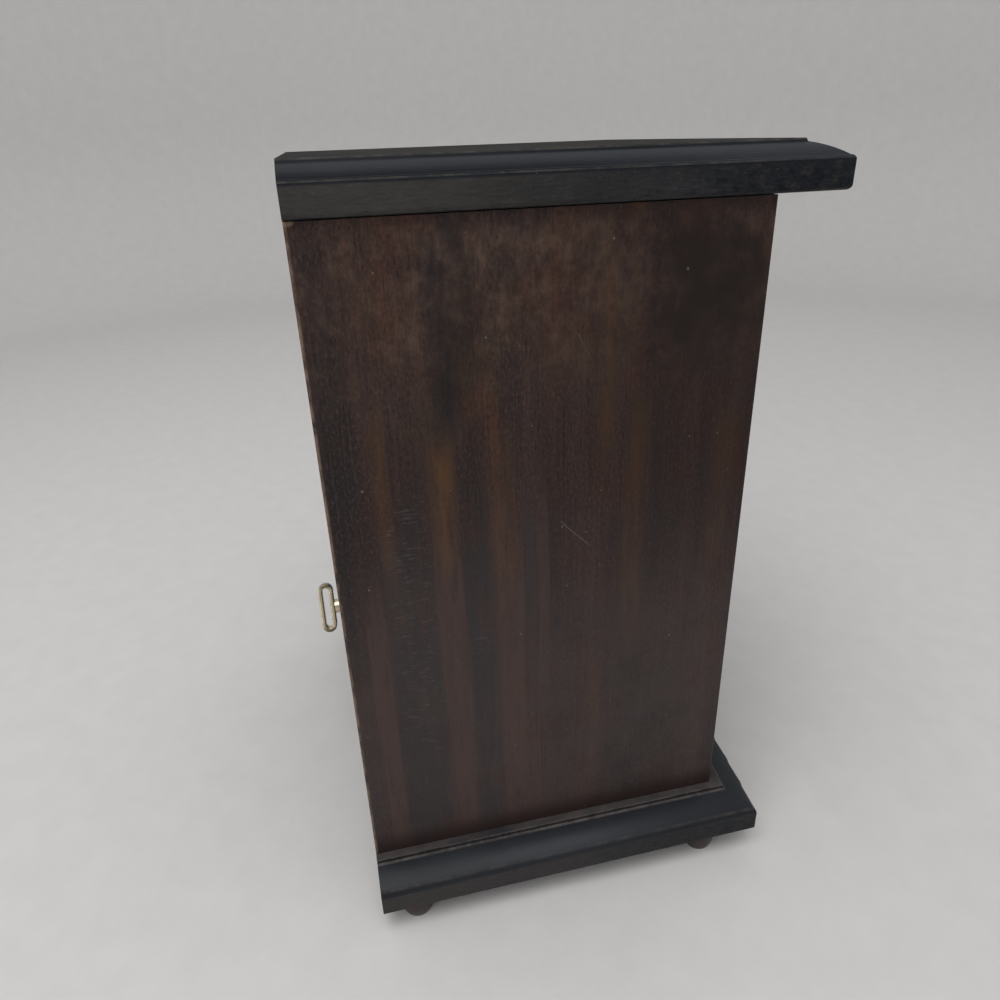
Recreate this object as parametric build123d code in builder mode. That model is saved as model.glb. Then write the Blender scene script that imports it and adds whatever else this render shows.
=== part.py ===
# Musical jewelry box: a walnut-stained case between two black routed boards. The top board is a hinged
# lid with a mirror, the front has two doors over two drawers, and a wind-up music movement sits behind
# the drawers with its key through the back. Millimetres, +Z up, front towards -Y.
# The origin is the middle of the whole box's footprint, on the surface that the feet stand on.
import os
from math import asin, cos, degrees, hypot, pi, radians, sin, sqrt

from build123d import *

# Driving sizes of the case
case_width = 178.0
case_depth = 136.0
panel_height = 223.5
panel_thick = 7.0
panel_arris = 0.7
back_recess = 0.5
base_height = 15.8
base_reach = 14.0
bow_rise = 5.5
foot_height = 9.0
foot_diameter = 12.5
foot_inset = 2.0
rear_foot_setback = 13.2
front_foot_setback = 6.5
spigot_diameter = 5.0
spigot_length = 6.0
foot_sole_radius = 5.0
foot_top_radius = 5.2
foot_belly_height = 4.8

# Driving sizes of the lid
lid_thick = 13.8
lid_side_reach = 2.0
lid_front_reach = 21.7
lid_gap = 0.3
mirror_width = 124.0
mirror_thick = 2.0
mirror_recess = 2.2
mirror_setback = 20.0
mirror_front_margin = 7.1
mirror_frame_width = 7.0
mirror_frame_thick = 1.6
mirror_frame_corner = 2.0

# Heights inside the case, and the boards that part them
tray_height = 34.0
shelf_thick = 5.0
drawer_height = 31.0
rail_height = 4.0
rail_depth = 14.0
stop_board_thick = 3.0
front_thick = 9.0
front_recess = 0.4
reveal = 0.5

# Doors
stile_width = 13.0
panel_tongue = 4.0
panel_tongue_thick = 2.5
panel_setback = 1.5
field_margin = 7.0
field_sink = 1.5

# Hinges
lid_hinge_length = 24.0
lid_hinge_spacing = 64.0
lid_barrel_radius = 1.5
lid_barrel_offset = 0.2
door_hinge_length = 16.0
door_hinge_setback = 17.0
door_barrel_radius = 1.4
door_barrel_offset = 0.3
leaf_thick = 0.8
leaf_width = 6.0
hinge_pin_radius = 0.6
knuckle_gap = 0.2
barrel_clearance = 0.25

# Drawers
drawer_wall = 4.0
drawer_bottom_thick = 2.4
drawer_bottom_groove = 1.5
drawer_bottom_lift = 2.0
drawer_side_gap = 0.6
drawer_side_drop = 3.0
drawer_lift = 0.2
runner_width = 7.0
pad_thick = 1.6

# Knobs
knob_diameter = 11.0
knob_length = 10.0
knob_spigot_diameter = 4.0
knob_spigot_length = 5.0
knob_neck = 3.1
knob_neck_height = 3.4
knob_waist_radius = 4.6
knob_waist_height = 4.4
knob_belly_height = 6.2
knob_crown_radius = 4.0
knob_crown_height = 8.8

# Tray and cabinet fittings
divider_thick = 3.0
divider_height = 24.0
ring_roll_count = 8
ring_pad_height = 14.0
ring_pad_base = 7.4
hook_count = 6
hook_spacing = 22.0
hook_setback = 26.0
hook_wire = 1.6
hook_bend = 2.6
hook_stem = 6.0
hook_sweep = 215.0
hook_collar_radius = 3.0
hook_collar_thick = 1.2
catch_width = 30.0
catch_depth = 9.0
catch_height = 7.0
catch_corner = 1.5
magnet_radius = 2.5
magnet_offset = 8.0
magnet_proud = 0.4
strike_thick = 0.8
strike_size = 8.0

# Music movement: heights are counted from the inside of the back, towards the front
movement_room = 24.6
arbor_x = 10.0
arbor_rise = 48.2
arbor_radius = 3.0
arbor_tail_radius = 1.9
arbor_head_radius = 4.6
arbor_head_thick = 1.0
key_reach = 12.0
key_turn = 24.0
key_bow_length = 22.0
key_bow_thick = 6.6
key_strip = 1.8
key_edge_round = 0.45
key_bow_width = 7.0
key_boss_radius = 3.2
key_boss_gap = 0.6
key_hole_radius = 4.2
plate_thick = 2.5
plate_left = 39.8
plate_right = 17.0
plate_low = 29.0
plate_high = 17.0
plate_corner = 2.5
plate_screw_inset = 4.0
seat_height = 0.7
seat_radius = 5.0
barrel_radius = 12.6
barrel_height = 11.0
barrel_chamfer = 1.0
flange_thick = 1.5
spur_module = 0.5
spur_teeth = 62
fly_teeth = 10
addendum = 0.85
dedendum = 1.15
root_spread = 1.35
tip_spread = 0.5
mesh_play = 0.2
centre_play = 0.06
crown_play = 0.1
crown_module = 0.6
crown_teeth = 48
crown_inner = 13.2
crown_outer = 14.8
crown_height = 1.1
crown_root_spread = 1.3
crown_tip_spread = 0.6
cylinder_teeth = 16
gear_width = 1.3
gear_gap = 0.9
cylinder_radius = 6.2
cylinder_length = 18.0
pins_per_track = 5
pin_height = 0.7
pin_size = 0.5
track_turn = 47.0
note_turn = 11.0
comb_teeth = 18
comb_pitch = 0.95
comb_slot = 0.3
comb_thick = 0.9
comb_gap = 0.12
comb_tooth_length = 11.0
comb_back = 8.0
comb_screw_spacing = 11.0
comb_screw_radius = 0.6
comb_screw_head_radius = 2.0
comb_screw_grip = 3.6
comb_block_margin = 1.0
axle_radius = 0.9
post_thick = 1.2
post_half_width = 2.2
post_gap = 0.3
fly_shaft_radius = 0.8
fly_angle = 137.0
fly_radius = 4.0
fly_blade_thick = 0.6
fly_blade_height = 7.0
bracket_top = 16.6
bracket_thick = 1.2
bracket_reach = 6.6
bracket_width = 4.0
bracket_corner = 1.2
screw_radius = 1.5
screw_head_radius = 2.8
screw_head_height = 1.1
rod_radius = 0.8
rod_setback = 10.0

# Fits
running_fit = 0.05
easy_fit = 0.3
touch_gap = 0.3

# Places that follow from the driving sizes
half_width = case_width / 2
inner_half = half_width - panel_thick
base_half = half_width + base_reach
lid_half = half_width + lid_side_reach
base_bottom = foot_height
base_top = base_bottom + base_height
case_top = base_top + panel_height
lid_bottom = case_top + lid_gap

# The bow: every front face is an arc about one upright axis far behind the box
base_radius = (base_half**2 + bow_rise**2) / (2 * bow_rise)
bow_offset = sqrt(base_radius**2 - base_half**2) - case_depth - base_reach
lid_radius = hypot(lid_half, bow_offset + case_depth + lid_front_reach)
front_radius = hypot(inner_half, bow_offset + case_depth - front_recess)
lid_front_offset = lid_radius - bow_offset
back_y = (lid_front_offset - key_reach) / 2
bow_y = back_y + bow_offset
front_y = back_y - case_depth
back_outside = back_y - back_recess
back_inside = back_outside - panel_thick

# Levels inside the case
lower_drawer_z = base_top
upper_drawer_z = lower_drawer_z + drawer_height + rail_height
cabinet_floor_z = upper_drawer_z + drawer_height
cabinet_z = cabinet_floor_z + shelf_thick
tray_z = case_top - tray_height
tray_floor_z = tray_z - shelf_thick

# Places from front to back
fronts_y = front_y + front_recess + front_thick
stop_board_y = back_inside - movement_room - stop_board_thick
drawer_back_y = stop_board_y - reveal
rail_back_y = front_y + front_recess + rail_depth

# The movement's own plane: x to the right, y upwards, heights towards the front
arbor_z = base_top + arbor_rise
works = Plane(origin=(arbor_x, back_inside, arbor_z), x_dir=(1, 0, 0), z_dir=(0, -1, 0))
flange_low = plate_thick + seat_height + running_fit
flange_top = flange_low + flange_thick
barrel_top = flange_top + barrel_height
spur_radius = spur_module * spur_teeth / 2
fly_pinion_radius = spur_module * fly_teeth / 2
fly_reach = spur_radius + fly_pinion_radius + centre_play
fly_x = fly_reach * cos(radians(fly_angle))
fly_y = fly_reach * sin(radians(fly_angle))
cylinder_gear_radius = crown_module * cylinder_teeth / 2
cylinder_height = flange_top + crown_height / 2 + cylinder_gear_radius + crown_play
cylinder_gear_x = -(barrel_radius + gear_gap)
inner_post_x = -(spur_radius + spur_module + post_gap)
drum_x = inner_post_x - post_thick - post_gap
outer_post_x = drum_x - cylinder_length - post_gap
comb_tip_y = -(cylinder_radius + pin_height + comb_gap)
comb_root_y = comb_tip_y - comb_tooth_length
comb_back_y = comb_root_y - comb_back
comb_left = drum_x - cylinder_length / 2 - comb_teeth * comb_pitch / 2
comb_low = cylinder_height - comb_thick / 2

outside = 30.0


def bow(x, radius):
    """Where an arc of the bow lies at x."""
    return bow_y - sqrt(radius**2 - x**2)


def bowed_plan(x_left, x_right, y_back, radius):
    """A board's plan, straight on three sides with its front on the bow."""
    x_middle = (x_left + x_right) / 2
    with BuildSketch() as plan:
        with BuildLine():
            Polyline(
                (x_left, bow(x_left, radius)),
                (x_left, y_back),
                (x_right, y_back),
                (x_right, bow(x_right, radius)),
            )
            ThreePointArc(
                (x_right, bow(x_right, radius)),
                (x_middle, bow(x_middle, radius)),
                (x_left, bow(x_left, radius)),
            )
        make_face()
    return plan.sketch


def board(low, high):
    """A plain square-edged board between two opposite corners."""
    with BuildPart() as plank:
        with BuildSketch(Plane.XY.offset(low[2])):
            with Locations(((low[0] + high[0]) / 2, (low[1] + high[1]) / 2)):
                Rectangle(high[0] - low[0], high[1] - low[1])
        extrude(amount=high[2] - low[2])
    return plank.part


def bowed_board(x_left, x_right, z_low, z_high, y_back, radius):
    """A board whose front face follows the bow."""
    plan = bowed_plan(x_left, x_right, y_back, radius)
    with BuildPart() as plank:
        with BuildSketch(Plane.XY.offset(z_low)):
            add(plan)
        extrude(amount=z_high - z_low)
    return plank.part


def bar(radius, start, end):
    """A round bar from one point to another."""
    reach = Vector(*end) - Vector(*start)
    with BuildPart() as rod:
        with BuildSketch(Plane(origin=start, z_dir=reach)):
            Circle(radius)
        extrude(amount=reach.length)
    return rod.part


def edge_waste(moulding, high, low, low_round):
    """What two cutters take off an edge: all outside its moulding, then the corner below."""
    with BuildSketch() as upper:
        with BuildLine():
            add(moulding)
            Polyline(high, (high[0], high[1] + outside), (-outside, high[1] + outside), (-outside, low[1]), low)
        make_face()
    with BuildSketch() as lower:
        with BuildLine():
            RadiusArc((0, low_round), (low_round, 0), -low_round)
            Polyline(
                (low_round, 0),
                (low_round, -outside),
                (-outside, -outside),
                (-outside, low_round),
                (0, low_round),
            )
        make_face()
    return [upper.sketch, lower.sketch]


def base_waste():
    """The base's edge, outwards from the top: a ledge, a small step, a long bevel and a round nose."""
    ledge = 3.2
    step_depth = 1.5
    bevel_end = 1.6
    bevel_fall = 2.9
    bevel_bulge = 0.455
    nose = 3.1
    nose_fall = 2.7
    low_round = 1.2
    high = (base_reach - ledge, base_height)
    bevel_top = (base_reach - ledge, base_height - step_depth)
    bevel_foot = (bevel_end, base_height - step_depth - bevel_fall)
    low = (0, base_height - step_depth - bevel_fall - nose_fall)
    with BuildLine() as moulding:
        Line(high, bevel_top)
        SagittaArc(bevel_top, bevel_foot, -bevel_bulge)
        RadiusArc(bevel_foot, low, -nose)
    return edge_waste(moulding.line, high, low, low_round)


def lid_waste():
    """The lid's edge, outwards from the top: a small step, a long gentle bevel and a rounded nose."""
    face_height = 8.0
    nose = 1.3
    bevel_run = 10.2
    bevel_top = 12.9
    bevel_bulge = 0.45
    step_run = 0.4
    low_round = 1.5
    high = (bevel_run + step_run, lid_thick)
    low = (0, face_height)
    with BuildLine() as moulding:
        Line(high, (bevel_run, bevel_top))
        SagittaArc((bevel_run, bevel_top), (nose, face_height + nose), -bevel_bulge)
        RadiusArc((nose, face_height + nose), low, -nose)
    return edge_waste(moulding.line, high, low, low_round)


def router_passes(wastes, half, radius, bottom):
    """What a router takes off a board: each cutter along both sides and round the bow."""
    run = case_depth + 3 * outside
    span = asin((half + outside) / radius)
    right = Plane(origin=(half, back_y + outside, bottom), x_dir=(-1, 0, 0), z_dir=(0, 1, 0))
    left = Plane(origin=(-half, back_y + outside, bottom), x_dir=(1, 0, 0), z_dir=(0, -1, 0))
    front = Plane(
        origin=(-radius * sin(span), bow_y - radius * cos(span), bottom),
        x_dir=(sin(span), cos(span), 0),
        z_dir=(cos(span), -sin(span), 0),
    )
    passes = []
    for waste in wastes:
        with BuildPart() as right_pass:
            with BuildSketch(right):
                add(waste)
            extrude(amount=-run)
        with BuildPart() as left_pass:
            with BuildSketch(left):
                add(waste)
            extrude(amount=run)
        with BuildPart() as front_pass:
            with BuildSketch(front):
                add(waste)
            revolve(axis=Axis((0, bow_y, 0), (0, 0, 1)), revolution_arc=2 * degrees(span))
        passes += [right_pass.part, left_pass.part, front_pass.part]
    return passes


def butt_hinge(length, barrel_radius, gap):
    """A butt hinge shut: its pin along Z, both leaves towards +Y, the fixed leaf on the +X side."""
    knuckle = length / 3
    plate_y = barrel_radius + knuckle_gap
    bore = hinge_pin_radius + running_fit

    def leaf(side, spans):
        """One leaf with its own knuckles."""
        with BuildPart() as piece:
            with BuildSketch(Plane.XY.offset(-length / 2)):
                with Locations((side * (gap + leaf_thick) / 2, (plate_y + leaf_width) / 2)):
                    Rectangle(leaf_thick, leaf_width - plate_y)
            extrude(amount=length)
            for low, high in spans:
                with BuildSketch(Plane.XY.offset(low)):
                    Circle(barrel_radius)
                    with Locations((side * (gap + leaf_thick) / 2, plate_y / 2)):
                        Rectangle(leaf_thick, plate_y + knuckle_gap)
                extrude(amount=high - low)
            with BuildSketch(Plane.XY.offset(-length / 2)):
                Circle(bore)
            extrude(amount=length, mode=Mode.SUBTRACT)
        return piece.part

    low_knuckle = (-length / 2, -knuckle / 2)
    high_knuckle = (knuckle / 2, length / 2)
    middle_knuckle = (-knuckle / 2 + knuckle_gap, knuckle / 2 - knuckle_gap)
    fixed = leaf(1, (low_knuckle, high_knuckle))
    moving = leaf(-1, (middle_knuckle,))
    pin = bar(hinge_pin_radius, (0, 0, -length / 2), (0, 0, length / 2))
    return fixed, moving, pin


def hinge_mortise(length, barrel_radius, gap):
    """What both boards lose for a butt hinge: the two leaf beds and the groove round the barrel."""
    with BuildPart() as waste:
        with BuildSketch(Plane.XY.offset(-length / 2 - knuckle_gap)):
            with Locations((0, leaf_width / 2)):
                Rectangle(gap + 2 * leaf_thick, leaf_width + 2 * running_fit)
            Circle(barrel_radius + barrel_clearance)
        extrude(amount=length + 2 * knuckle_gap)
    return waste.part


def knob_seat(place):
    """What a board loses for a knob: the spigot's hole and a flat spot round it."""
    with BuildPart() as seat:
        with BuildSketch(place):
            Circle(knob_spigot_diameter / 2 + running_fit)
        extrude(amount=-knob_spigot_length - easy_fit)
        with BuildSketch(place):
            Circle(knob_neck + running_fit)
        extrude(amount=touch_gap)
    return seat.part


def knob(place):
    """A turned knob with a spigot, growing along the plane's normal from the board's face."""
    spigot = knob_spigot_diameter / 2
    with BuildPart() as turned:
        with BuildSketch(Plane.XZ):
            with BuildLine():
                Polyline((knob_neck, 0), (spigot, 0), (spigot, -knob_spigot_length))
                Polyline((spigot, -knob_spigot_length), (0, -knob_spigot_length), (0, knob_length))
                ThreePointArc(
                    (0, knob_length),
                    (knob_crown_radius, knob_crown_height),
                    (knob_diameter / 2, knob_belly_height),
                )
                ThreePointArc(
                    (knob_diameter / 2, knob_belly_height),
                    (knob_waist_radius, knob_waist_height),
                    (knob_neck, knob_neck_height),
                )
                Line((knob_neck, knob_neck_height), (knob_neck, 0))
            make_face()
        revolve(axis=Axis.Z)
    return turned.part.moved(place.location)


def spur(teeth, module, first):
    """A spur gear's outline with straight-flanked teeth; the first tooth points at the angle first."""
    pitch = module * teeth / 2
    root = pitch - dedendum * module
    tip = pitch + addendum * module
    half = (pi * module / 2 - mesh_play) / 2
    flank = ((root, -root_spread), (tip, -tip_spread), (tip, tip_spread), (root, root_spread))
    corners = []
    for tooth in range(teeth):
        middle = radians(first) + 2 * pi * tooth / teeth
        for radius, turn in flank:
            angle = middle + turn * half / pitch
            corners.append((radius * cos(angle), radius * sin(angle)))
    with BuildSketch() as outline:
        with BuildLine():
            Polyline(*corners, close=True)
        make_face()
    return outline.sketch


os.makedirs("parts", exist_ok=True)
pieces = {}


def keep(name, part):
    """Name a finished piece and write its file."""
    part.label = name
    pieces[name] = part
    export_step(part, f"parts/{name}.step")


# The feet: small turned buttons with a spigot glued into the base
foot_x = base_half - foot_inset - foot_diameter / 2
foot_rows = (back_y - rear_foot_setback, front_y + front_foot_setback)
foot_places = [(side * foot_x, y) for side in (-1, 1) for y in foot_rows]
with BuildPart() as foot:
    with BuildSketch(Plane.XZ):
        with BuildLine():
            Polyline(
                (foot_sole_radius, 0),
                (0, 0),
                (0, foot_height + spigot_length),
                (spigot_diameter / 2, foot_height + spigot_length),
                (spigot_diameter / 2, foot_height),
                (foot_top_radius, foot_height),
            )
            ThreePointArc(
                (foot_top_radius, foot_height),
                (foot_diameter / 2, foot_belly_height),
                (foot_sole_radius, 0),
            )
        make_face()
    revolve(axis=Axis.Z)
one_foot = foot.part
with BuildPart() as feet:
    with Locations(*foot_places):
        add(one_foot)
keep("feet", feet.part)

# The base board: a bow-fronted board, routed along both sides and the front and cut flush at the back
base_plan = bowed_plan(-base_half, base_half, back_y, base_radius)
base_passes = router_passes(base_waste(), base_half, base_radius, base_bottom)
with BuildPart() as base_board:
    with BuildSketch(Plane.XY.offset(base_bottom)):
        add(base_plan)
    extrude(amount=base_height)
    for router_pass in base_passes:
        add(router_pass, mode=Mode.SUBTRACT)
    with BuildSketch(Plane.XY.offset(base_bottom)):
        with Locations(*foot_places):
            Circle(spigot_diameter / 2 + running_fit)
    extrude(amount=spigot_length + easy_fit, mode=Mode.SUBTRACT)
keep("base_board", base_board.part)

# Hinges, made once and placed on both doors and twice under the lid
lid_axis_y = back_y + lid_barrel_offset
lid_axis_z = case_top + lid_gap / 2
lid_hinge_planes = [
    Plane(origin=(side * lid_hinge_spacing / 2, lid_axis_y, lid_axis_z), x_dir=(0, 0, -1), z_dir=(-1, 0, 0))
    for side in (-1, 1)
]
lid_fixed, lid_moving, lid_pin = butt_hinge(lid_hinge_length, lid_barrel_radius, lid_gap)
lid_mortise = hinge_mortise(lid_hinge_length, lid_barrel_radius, lid_gap)
door_axis_x = inner_half - reveal / 2
door_axis_y = front_y - door_barrel_offset
door_low = cabinet_z + reveal
door_high = tray_floor_z - reveal
door_hinge_planes = {
    side: [
        Plane(origin=(side * door_axis_x, door_axis_y, z), x_dir=(side, 0, 0), z_dir=(0, 0, side))
        for z in (door_low + door_hinge_setback, door_high - door_hinge_setback)
    ]
    for side in (-1, 1)
}
door_fixed, door_moving, door_pin = butt_hinge(door_hinge_length, door_barrel_radius, reveal)
door_mortise = hinge_mortise(door_hinge_length, door_barrel_radius, reveal)


def placed(piece, planes):
    """Copies of one piece, each on its own plane."""
    with BuildPart() as copies:
        with Locations(*[plane.location for plane in planes]):
            add(piece)
    return copies.part


keep("lid_hinge_seats", placed(lid_fixed, lid_hinge_planes))
keep("lid_hinge_leaves", placed(lid_moving, lid_hinge_planes))
keep("lid_hinge_pins", placed(lid_pin, lid_hinge_planes))
all_door_planes = door_hinge_planes[-1] + door_hinge_planes[1]
keep("door_hinge_seats", placed(door_fixed, all_door_planes))
keep("door_hinge_pins", placed(door_pin, all_door_planes))

# The side panels: one board each, with eased outer edges and beds for the door hinges
for name, side in (("left_side_panel", -1), ("right_side_panel", 1)):
    x_low, x_high = sorted((side * inner_half, side * half_width))
    plank = board((x_low, front_y, base_top), (x_high, back_y, case_top))
    with BuildPart() as side_panel:
        add(plank)
        outer = side_panel.faces().sort_by(Axis.X)[0 if side < 0 else -1]
        fillet(outer.edges().filter_by(Axis.Z), radius=panel_arris)
        with Locations(*[plane.location for plane in door_hinge_planes[side]]):
            add(door_mortise, mode=Mode.SUBTRACT)
    keep(name, side_panel.part)

# The back: one board between the sides, drilled for the movement and let in for the lid's hinges
plate_screws = (
    (-plate_left + plate_screw_inset, plate_high - plate_screw_inset),
    (-plate_left + plate_screw_inset, -plate_low + plate_screw_inset),
    (plate_right - plate_screw_inset, -plate_low + plate_screw_inset),
)
plank = board((-inner_half, back_inside, base_top), (inner_half, back_outside, case_top))
with BuildPart() as back_panel:
    add(plank)
    with BuildSketch(works):
        Circle(key_hole_radius)
        with Locations(*plate_screws):
            Circle(screw_radius + running_fit)
    extrude(amount=-panel_thick, mode=Mode.SUBTRACT)
    with Locations(*[plane.location for plane in lid_hinge_planes]):
        add(lid_mortise, mode=Mode.SUBTRACT)
keep("back_panel", back_panel.part)

# Fixed boards inside the case
rod_x = arbor_x + fly_x
rod_y = back_inside - rod_setback
keep("front_apron", bowed_board(-inner_half, inner_half, tray_floor_z, case_top, fronts_y, front_radius))
shelves = {
    "tray_floor": board((-inner_half, fronts_y, tray_floor_z), (inner_half, back_inside, tray_z)),
    "cabinet_floor": bowed_board(
        -inner_half,
        inner_half,
        cabinet_floor_z,
        cabinet_z,
        back_inside,
        front_radius,
    ),
}
for name, shelf in shelves.items():
    with BuildPart() as drilled:
        add(shelf)
        with BuildSketch(Plane.XY.offset(cabinet_floor_z)):
            with Locations((rod_x, rod_y)):
                Circle(rod_radius + running_fit)
        extrude(amount=tray_z - cabinet_floor_z, mode=Mode.SUBTRACT)
    keep(name, drilled.part)
rail_z = upper_drawer_z - rail_height
keep("drawer_rail", bowed_board(-inner_half, inner_half, rail_z, upper_drawer_z, rail_back_y, front_radius))
runner = board((inner_half - runner_width, rail_back_y, rail_z), (inner_half, stop_board_y, upper_drawer_z))
with BuildPart() as drawer_runners:
    add(runner)
    mirror(about=Plane.YZ)
keep("drawer_runners", drawer_runners.part)
keep(
    "drawer_stop_board",
    board(
        (-inner_half, stop_board_y, base_top),
        (inner_half, stop_board_y + stop_board_thick, cabinet_floor_z),
    ),
)

# The drawers: bowed front, grooved sides and back, a thin bottom let into the grooves, and a velvet pad
knob_face_y = bow(0, front_radius)
drawer_half = inner_half - drawer_side_gap
for level, low_z in (("lower", lower_drawer_z), ("upper", upper_drawer_z)):
    front_low = low_z + reveal
    front_high = low_z + drawer_height - reveal
    box_low = low_z + drawer_lift
    box_high = front_high - drawer_side_drop
    bottom_low = box_low + drawer_bottom_lift
    bottom_high = bottom_low + drawer_bottom_thick
    pad_low = bottom_high + touch_gap
    groove = board(
        (
            -drawer_half + drawer_wall - drawer_bottom_groove,
            fronts_y - drawer_bottom_groove,
            bottom_low - running_fit,
        ),
        (
            drawer_half - drawer_wall + drawer_bottom_groove,
            drawer_back_y,
            bottom_high + running_fit,
        ),
    )
    knob_place = Plane(
        origin=(0, knob_face_y, (front_low + front_high) / 2),
        x_dir=(1, 0, 0),
        z_dir=(0, -1, 0),
    )
    front = bowed_board(-drawer_half, drawer_half, front_low, front_high, fronts_y, front_radius)
    with BuildPart() as drawer_front:
        add(front)
        add(groove, mode=Mode.SUBTRACT)
        add(knob_seat(knob_place), mode=Mode.SUBTRACT)
    keep(f"{level}_drawer_front", drawer_front.part)
    keep(f"{level}_drawer_knob", knob(knob_place))
    side = board((drawer_half - drawer_wall, fronts_y, box_low), (drawer_half, drawer_back_y, box_high))
    with BuildPart() as drawer_sides:
        add(side)
        mirror(about=Plane.YZ)
        add(groove, mode=Mode.SUBTRACT)
    keep(f"{level}_drawer_sides", drawer_sides.part)
    keep(
        f"{level}_drawer_back",
        board(
            (-drawer_half + drawer_wall, drawer_back_y - drawer_wall, bottom_high + running_fit),
            (drawer_half - drawer_wall, drawer_back_y, box_high),
        ),
    )
    bottom_half = drawer_half - drawer_wall + drawer_bottom_groove - running_fit
    keep(
        f"{level}_drawer_bottom",
        board(
            (-bottom_half, fronts_y - drawer_bottom_groove + running_fit, bottom_low),
            (bottom_half, drawer_back_y, bottom_high),
        ),
    )
    pad_half = drawer_half - drawer_wall - easy_fit
    keep(
        f"{level}_drawer_pad",
        board(
            (-pad_half, fronts_y + easy_fit, pad_low),
            (pad_half, drawer_back_y - drawer_wall - easy_fit, pad_low + pad_thick),
        ),
    )

# The doors: a grooved frame on the bow round a fielded panel, with a knob, two hinges and a strike plate
door_outer = inner_half - reveal
door_inner = reveal / 2
opening_outer = door_outer - stile_width
opening_inner = door_inner + stile_width
opening_low = door_low + stile_width
opening_high = door_high - stile_width
panel_y = fronts_y - panel_setback
field_outer = opening_outer - field_margin
field_inner = opening_inner + field_margin
strike_z = tray_floor_z - catch_height / 2
for name, side in (("left", -1), ("right", 1)):
    x_low, x_high = sorted((side * door_inner, side * door_outer))
    hole_low, hole_high = sorted((side * opening_inner, side * opening_outer))
    field_low, field_high = sorted((side * field_inner, side * field_outer))
    knob_x = side * (door_inner + stile_width / 2)
    knob_place = Plane(
        origin=(knob_x, bow(knob_x, front_radius), (door_low + door_high) / 2),
        x_dir=(1, 0, 0),
        z_dir=(0, -1, 0),
    )
    slab = bowed_board(x_low, x_high, door_low, door_high, fronts_y, front_radius)
    opening = board((hole_low, front_y - outside, opening_low), (hole_high, fronts_y, opening_high))
    panel_groove = board(
        (hole_low - panel_tongue, panel_y - panel_tongue_thick - running_fit, opening_low - panel_tongue),
        (hole_high + panel_tongue, panel_y + running_fit, opening_high + panel_tongue),
    )
    with BuildPart() as door_frame:
        add(slab)
        add(opening, mode=Mode.SUBTRACT)
        add(panel_groove, mode=Mode.SUBTRACT)
        add(knob_seat(knob_place), mode=Mode.SUBTRACT)
        with Locations(*[plane.location for plane in door_hinge_planes[side]]):
            add(door_mortise, mode=Mode.SUBTRACT)
    keep(f"{name}_door_frame", door_frame.part)
    slip = panel_tongue - easy_fit
    thin = board(
        (hole_low - slip, panel_y - panel_tongue_thick, opening_low - slip),
        (hole_high + slip, panel_y, opening_high + slip),
    )
    field = bowed_board(
        field_low,
        field_high,
        opening_low + field_margin,
        opening_high - field_margin,
        panel_y,
        front_radius - field_sink,
    )
    with BuildPart() as door_panel:
        add(thin)
        add(field)
    keep(f"{name}_door_panel", door_panel.part)
    keep(f"{name}_door_knob", knob(knob_place))
    keep(f"{name}_door_hinge_leaves", placed(door_moving, door_hinge_planes[side]))
    strike_inner = side * (magnet_offset - strike_size / 2)
    strike_outer = side * (magnet_offset + strike_size / 2)
    strike_low, strike_high = sorted((strike_inner, strike_outer))
    keep(
        f"{name}_strike_plate",
        board(
            (strike_low, fronts_y, strike_z - strike_size / 2),
            (strike_high, fronts_y + strike_thick, door_high - reveal),
        ),
    )

# The magnetic catch under the tray's floor, with two magnets that face the strike plates
catch_y = fronts_y + strike_thick + magnet_proud + touch_gap
with BuildPart() as door_catch:
    with BuildSketch(Plane.XY.offset(tray_floor_z - catch_height)):
        with Locations((0, catch_y + catch_depth / 2)):
            RectangleRounded(catch_width, catch_depth, catch_corner)
    extrude(amount=catch_height)
    with BuildSketch(Plane.XZ.offset(-catch_y)):
        with Locations((-magnet_offset, strike_z), (magnet_offset, strike_z)):
            Circle(magnet_radius)
    extrude(amount=magnet_proud)
keep("door_catch", door_catch.part)

# Cup hooks for necklaces, screwed up into the tray's floor
hook_y = back_inside - hook_setback
with BuildPart() as hook:
    with BuildLine(Plane.YZ) as wire:
        Line((0, -hook_collar_thick), (0, -hook_stem))
        CenterArc((-hook_bend, -hook_stem), hook_bend, 0, -hook_sweep)
    with BuildSketch(Plane.XY.offset(-hook_collar_thick)):
        Circle(hook_wire / 2)
    sweep(path=wire.wires()[0])
    with BuildSketch(Plane.XY):
        Circle(hook_collar_radius)
    extrude(amount=-hook_collar_thick)
one_hook = hook.part
with BuildPart() as necklace_hooks:
    for place in range(hook_count):
        with Locations(((place - (hook_count - 1) / 2) * hook_spacing, hook_y, tray_floor_z)):
            add(one_hook)
keep("necklace_hooks", necklace_hooks.part)

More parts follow.
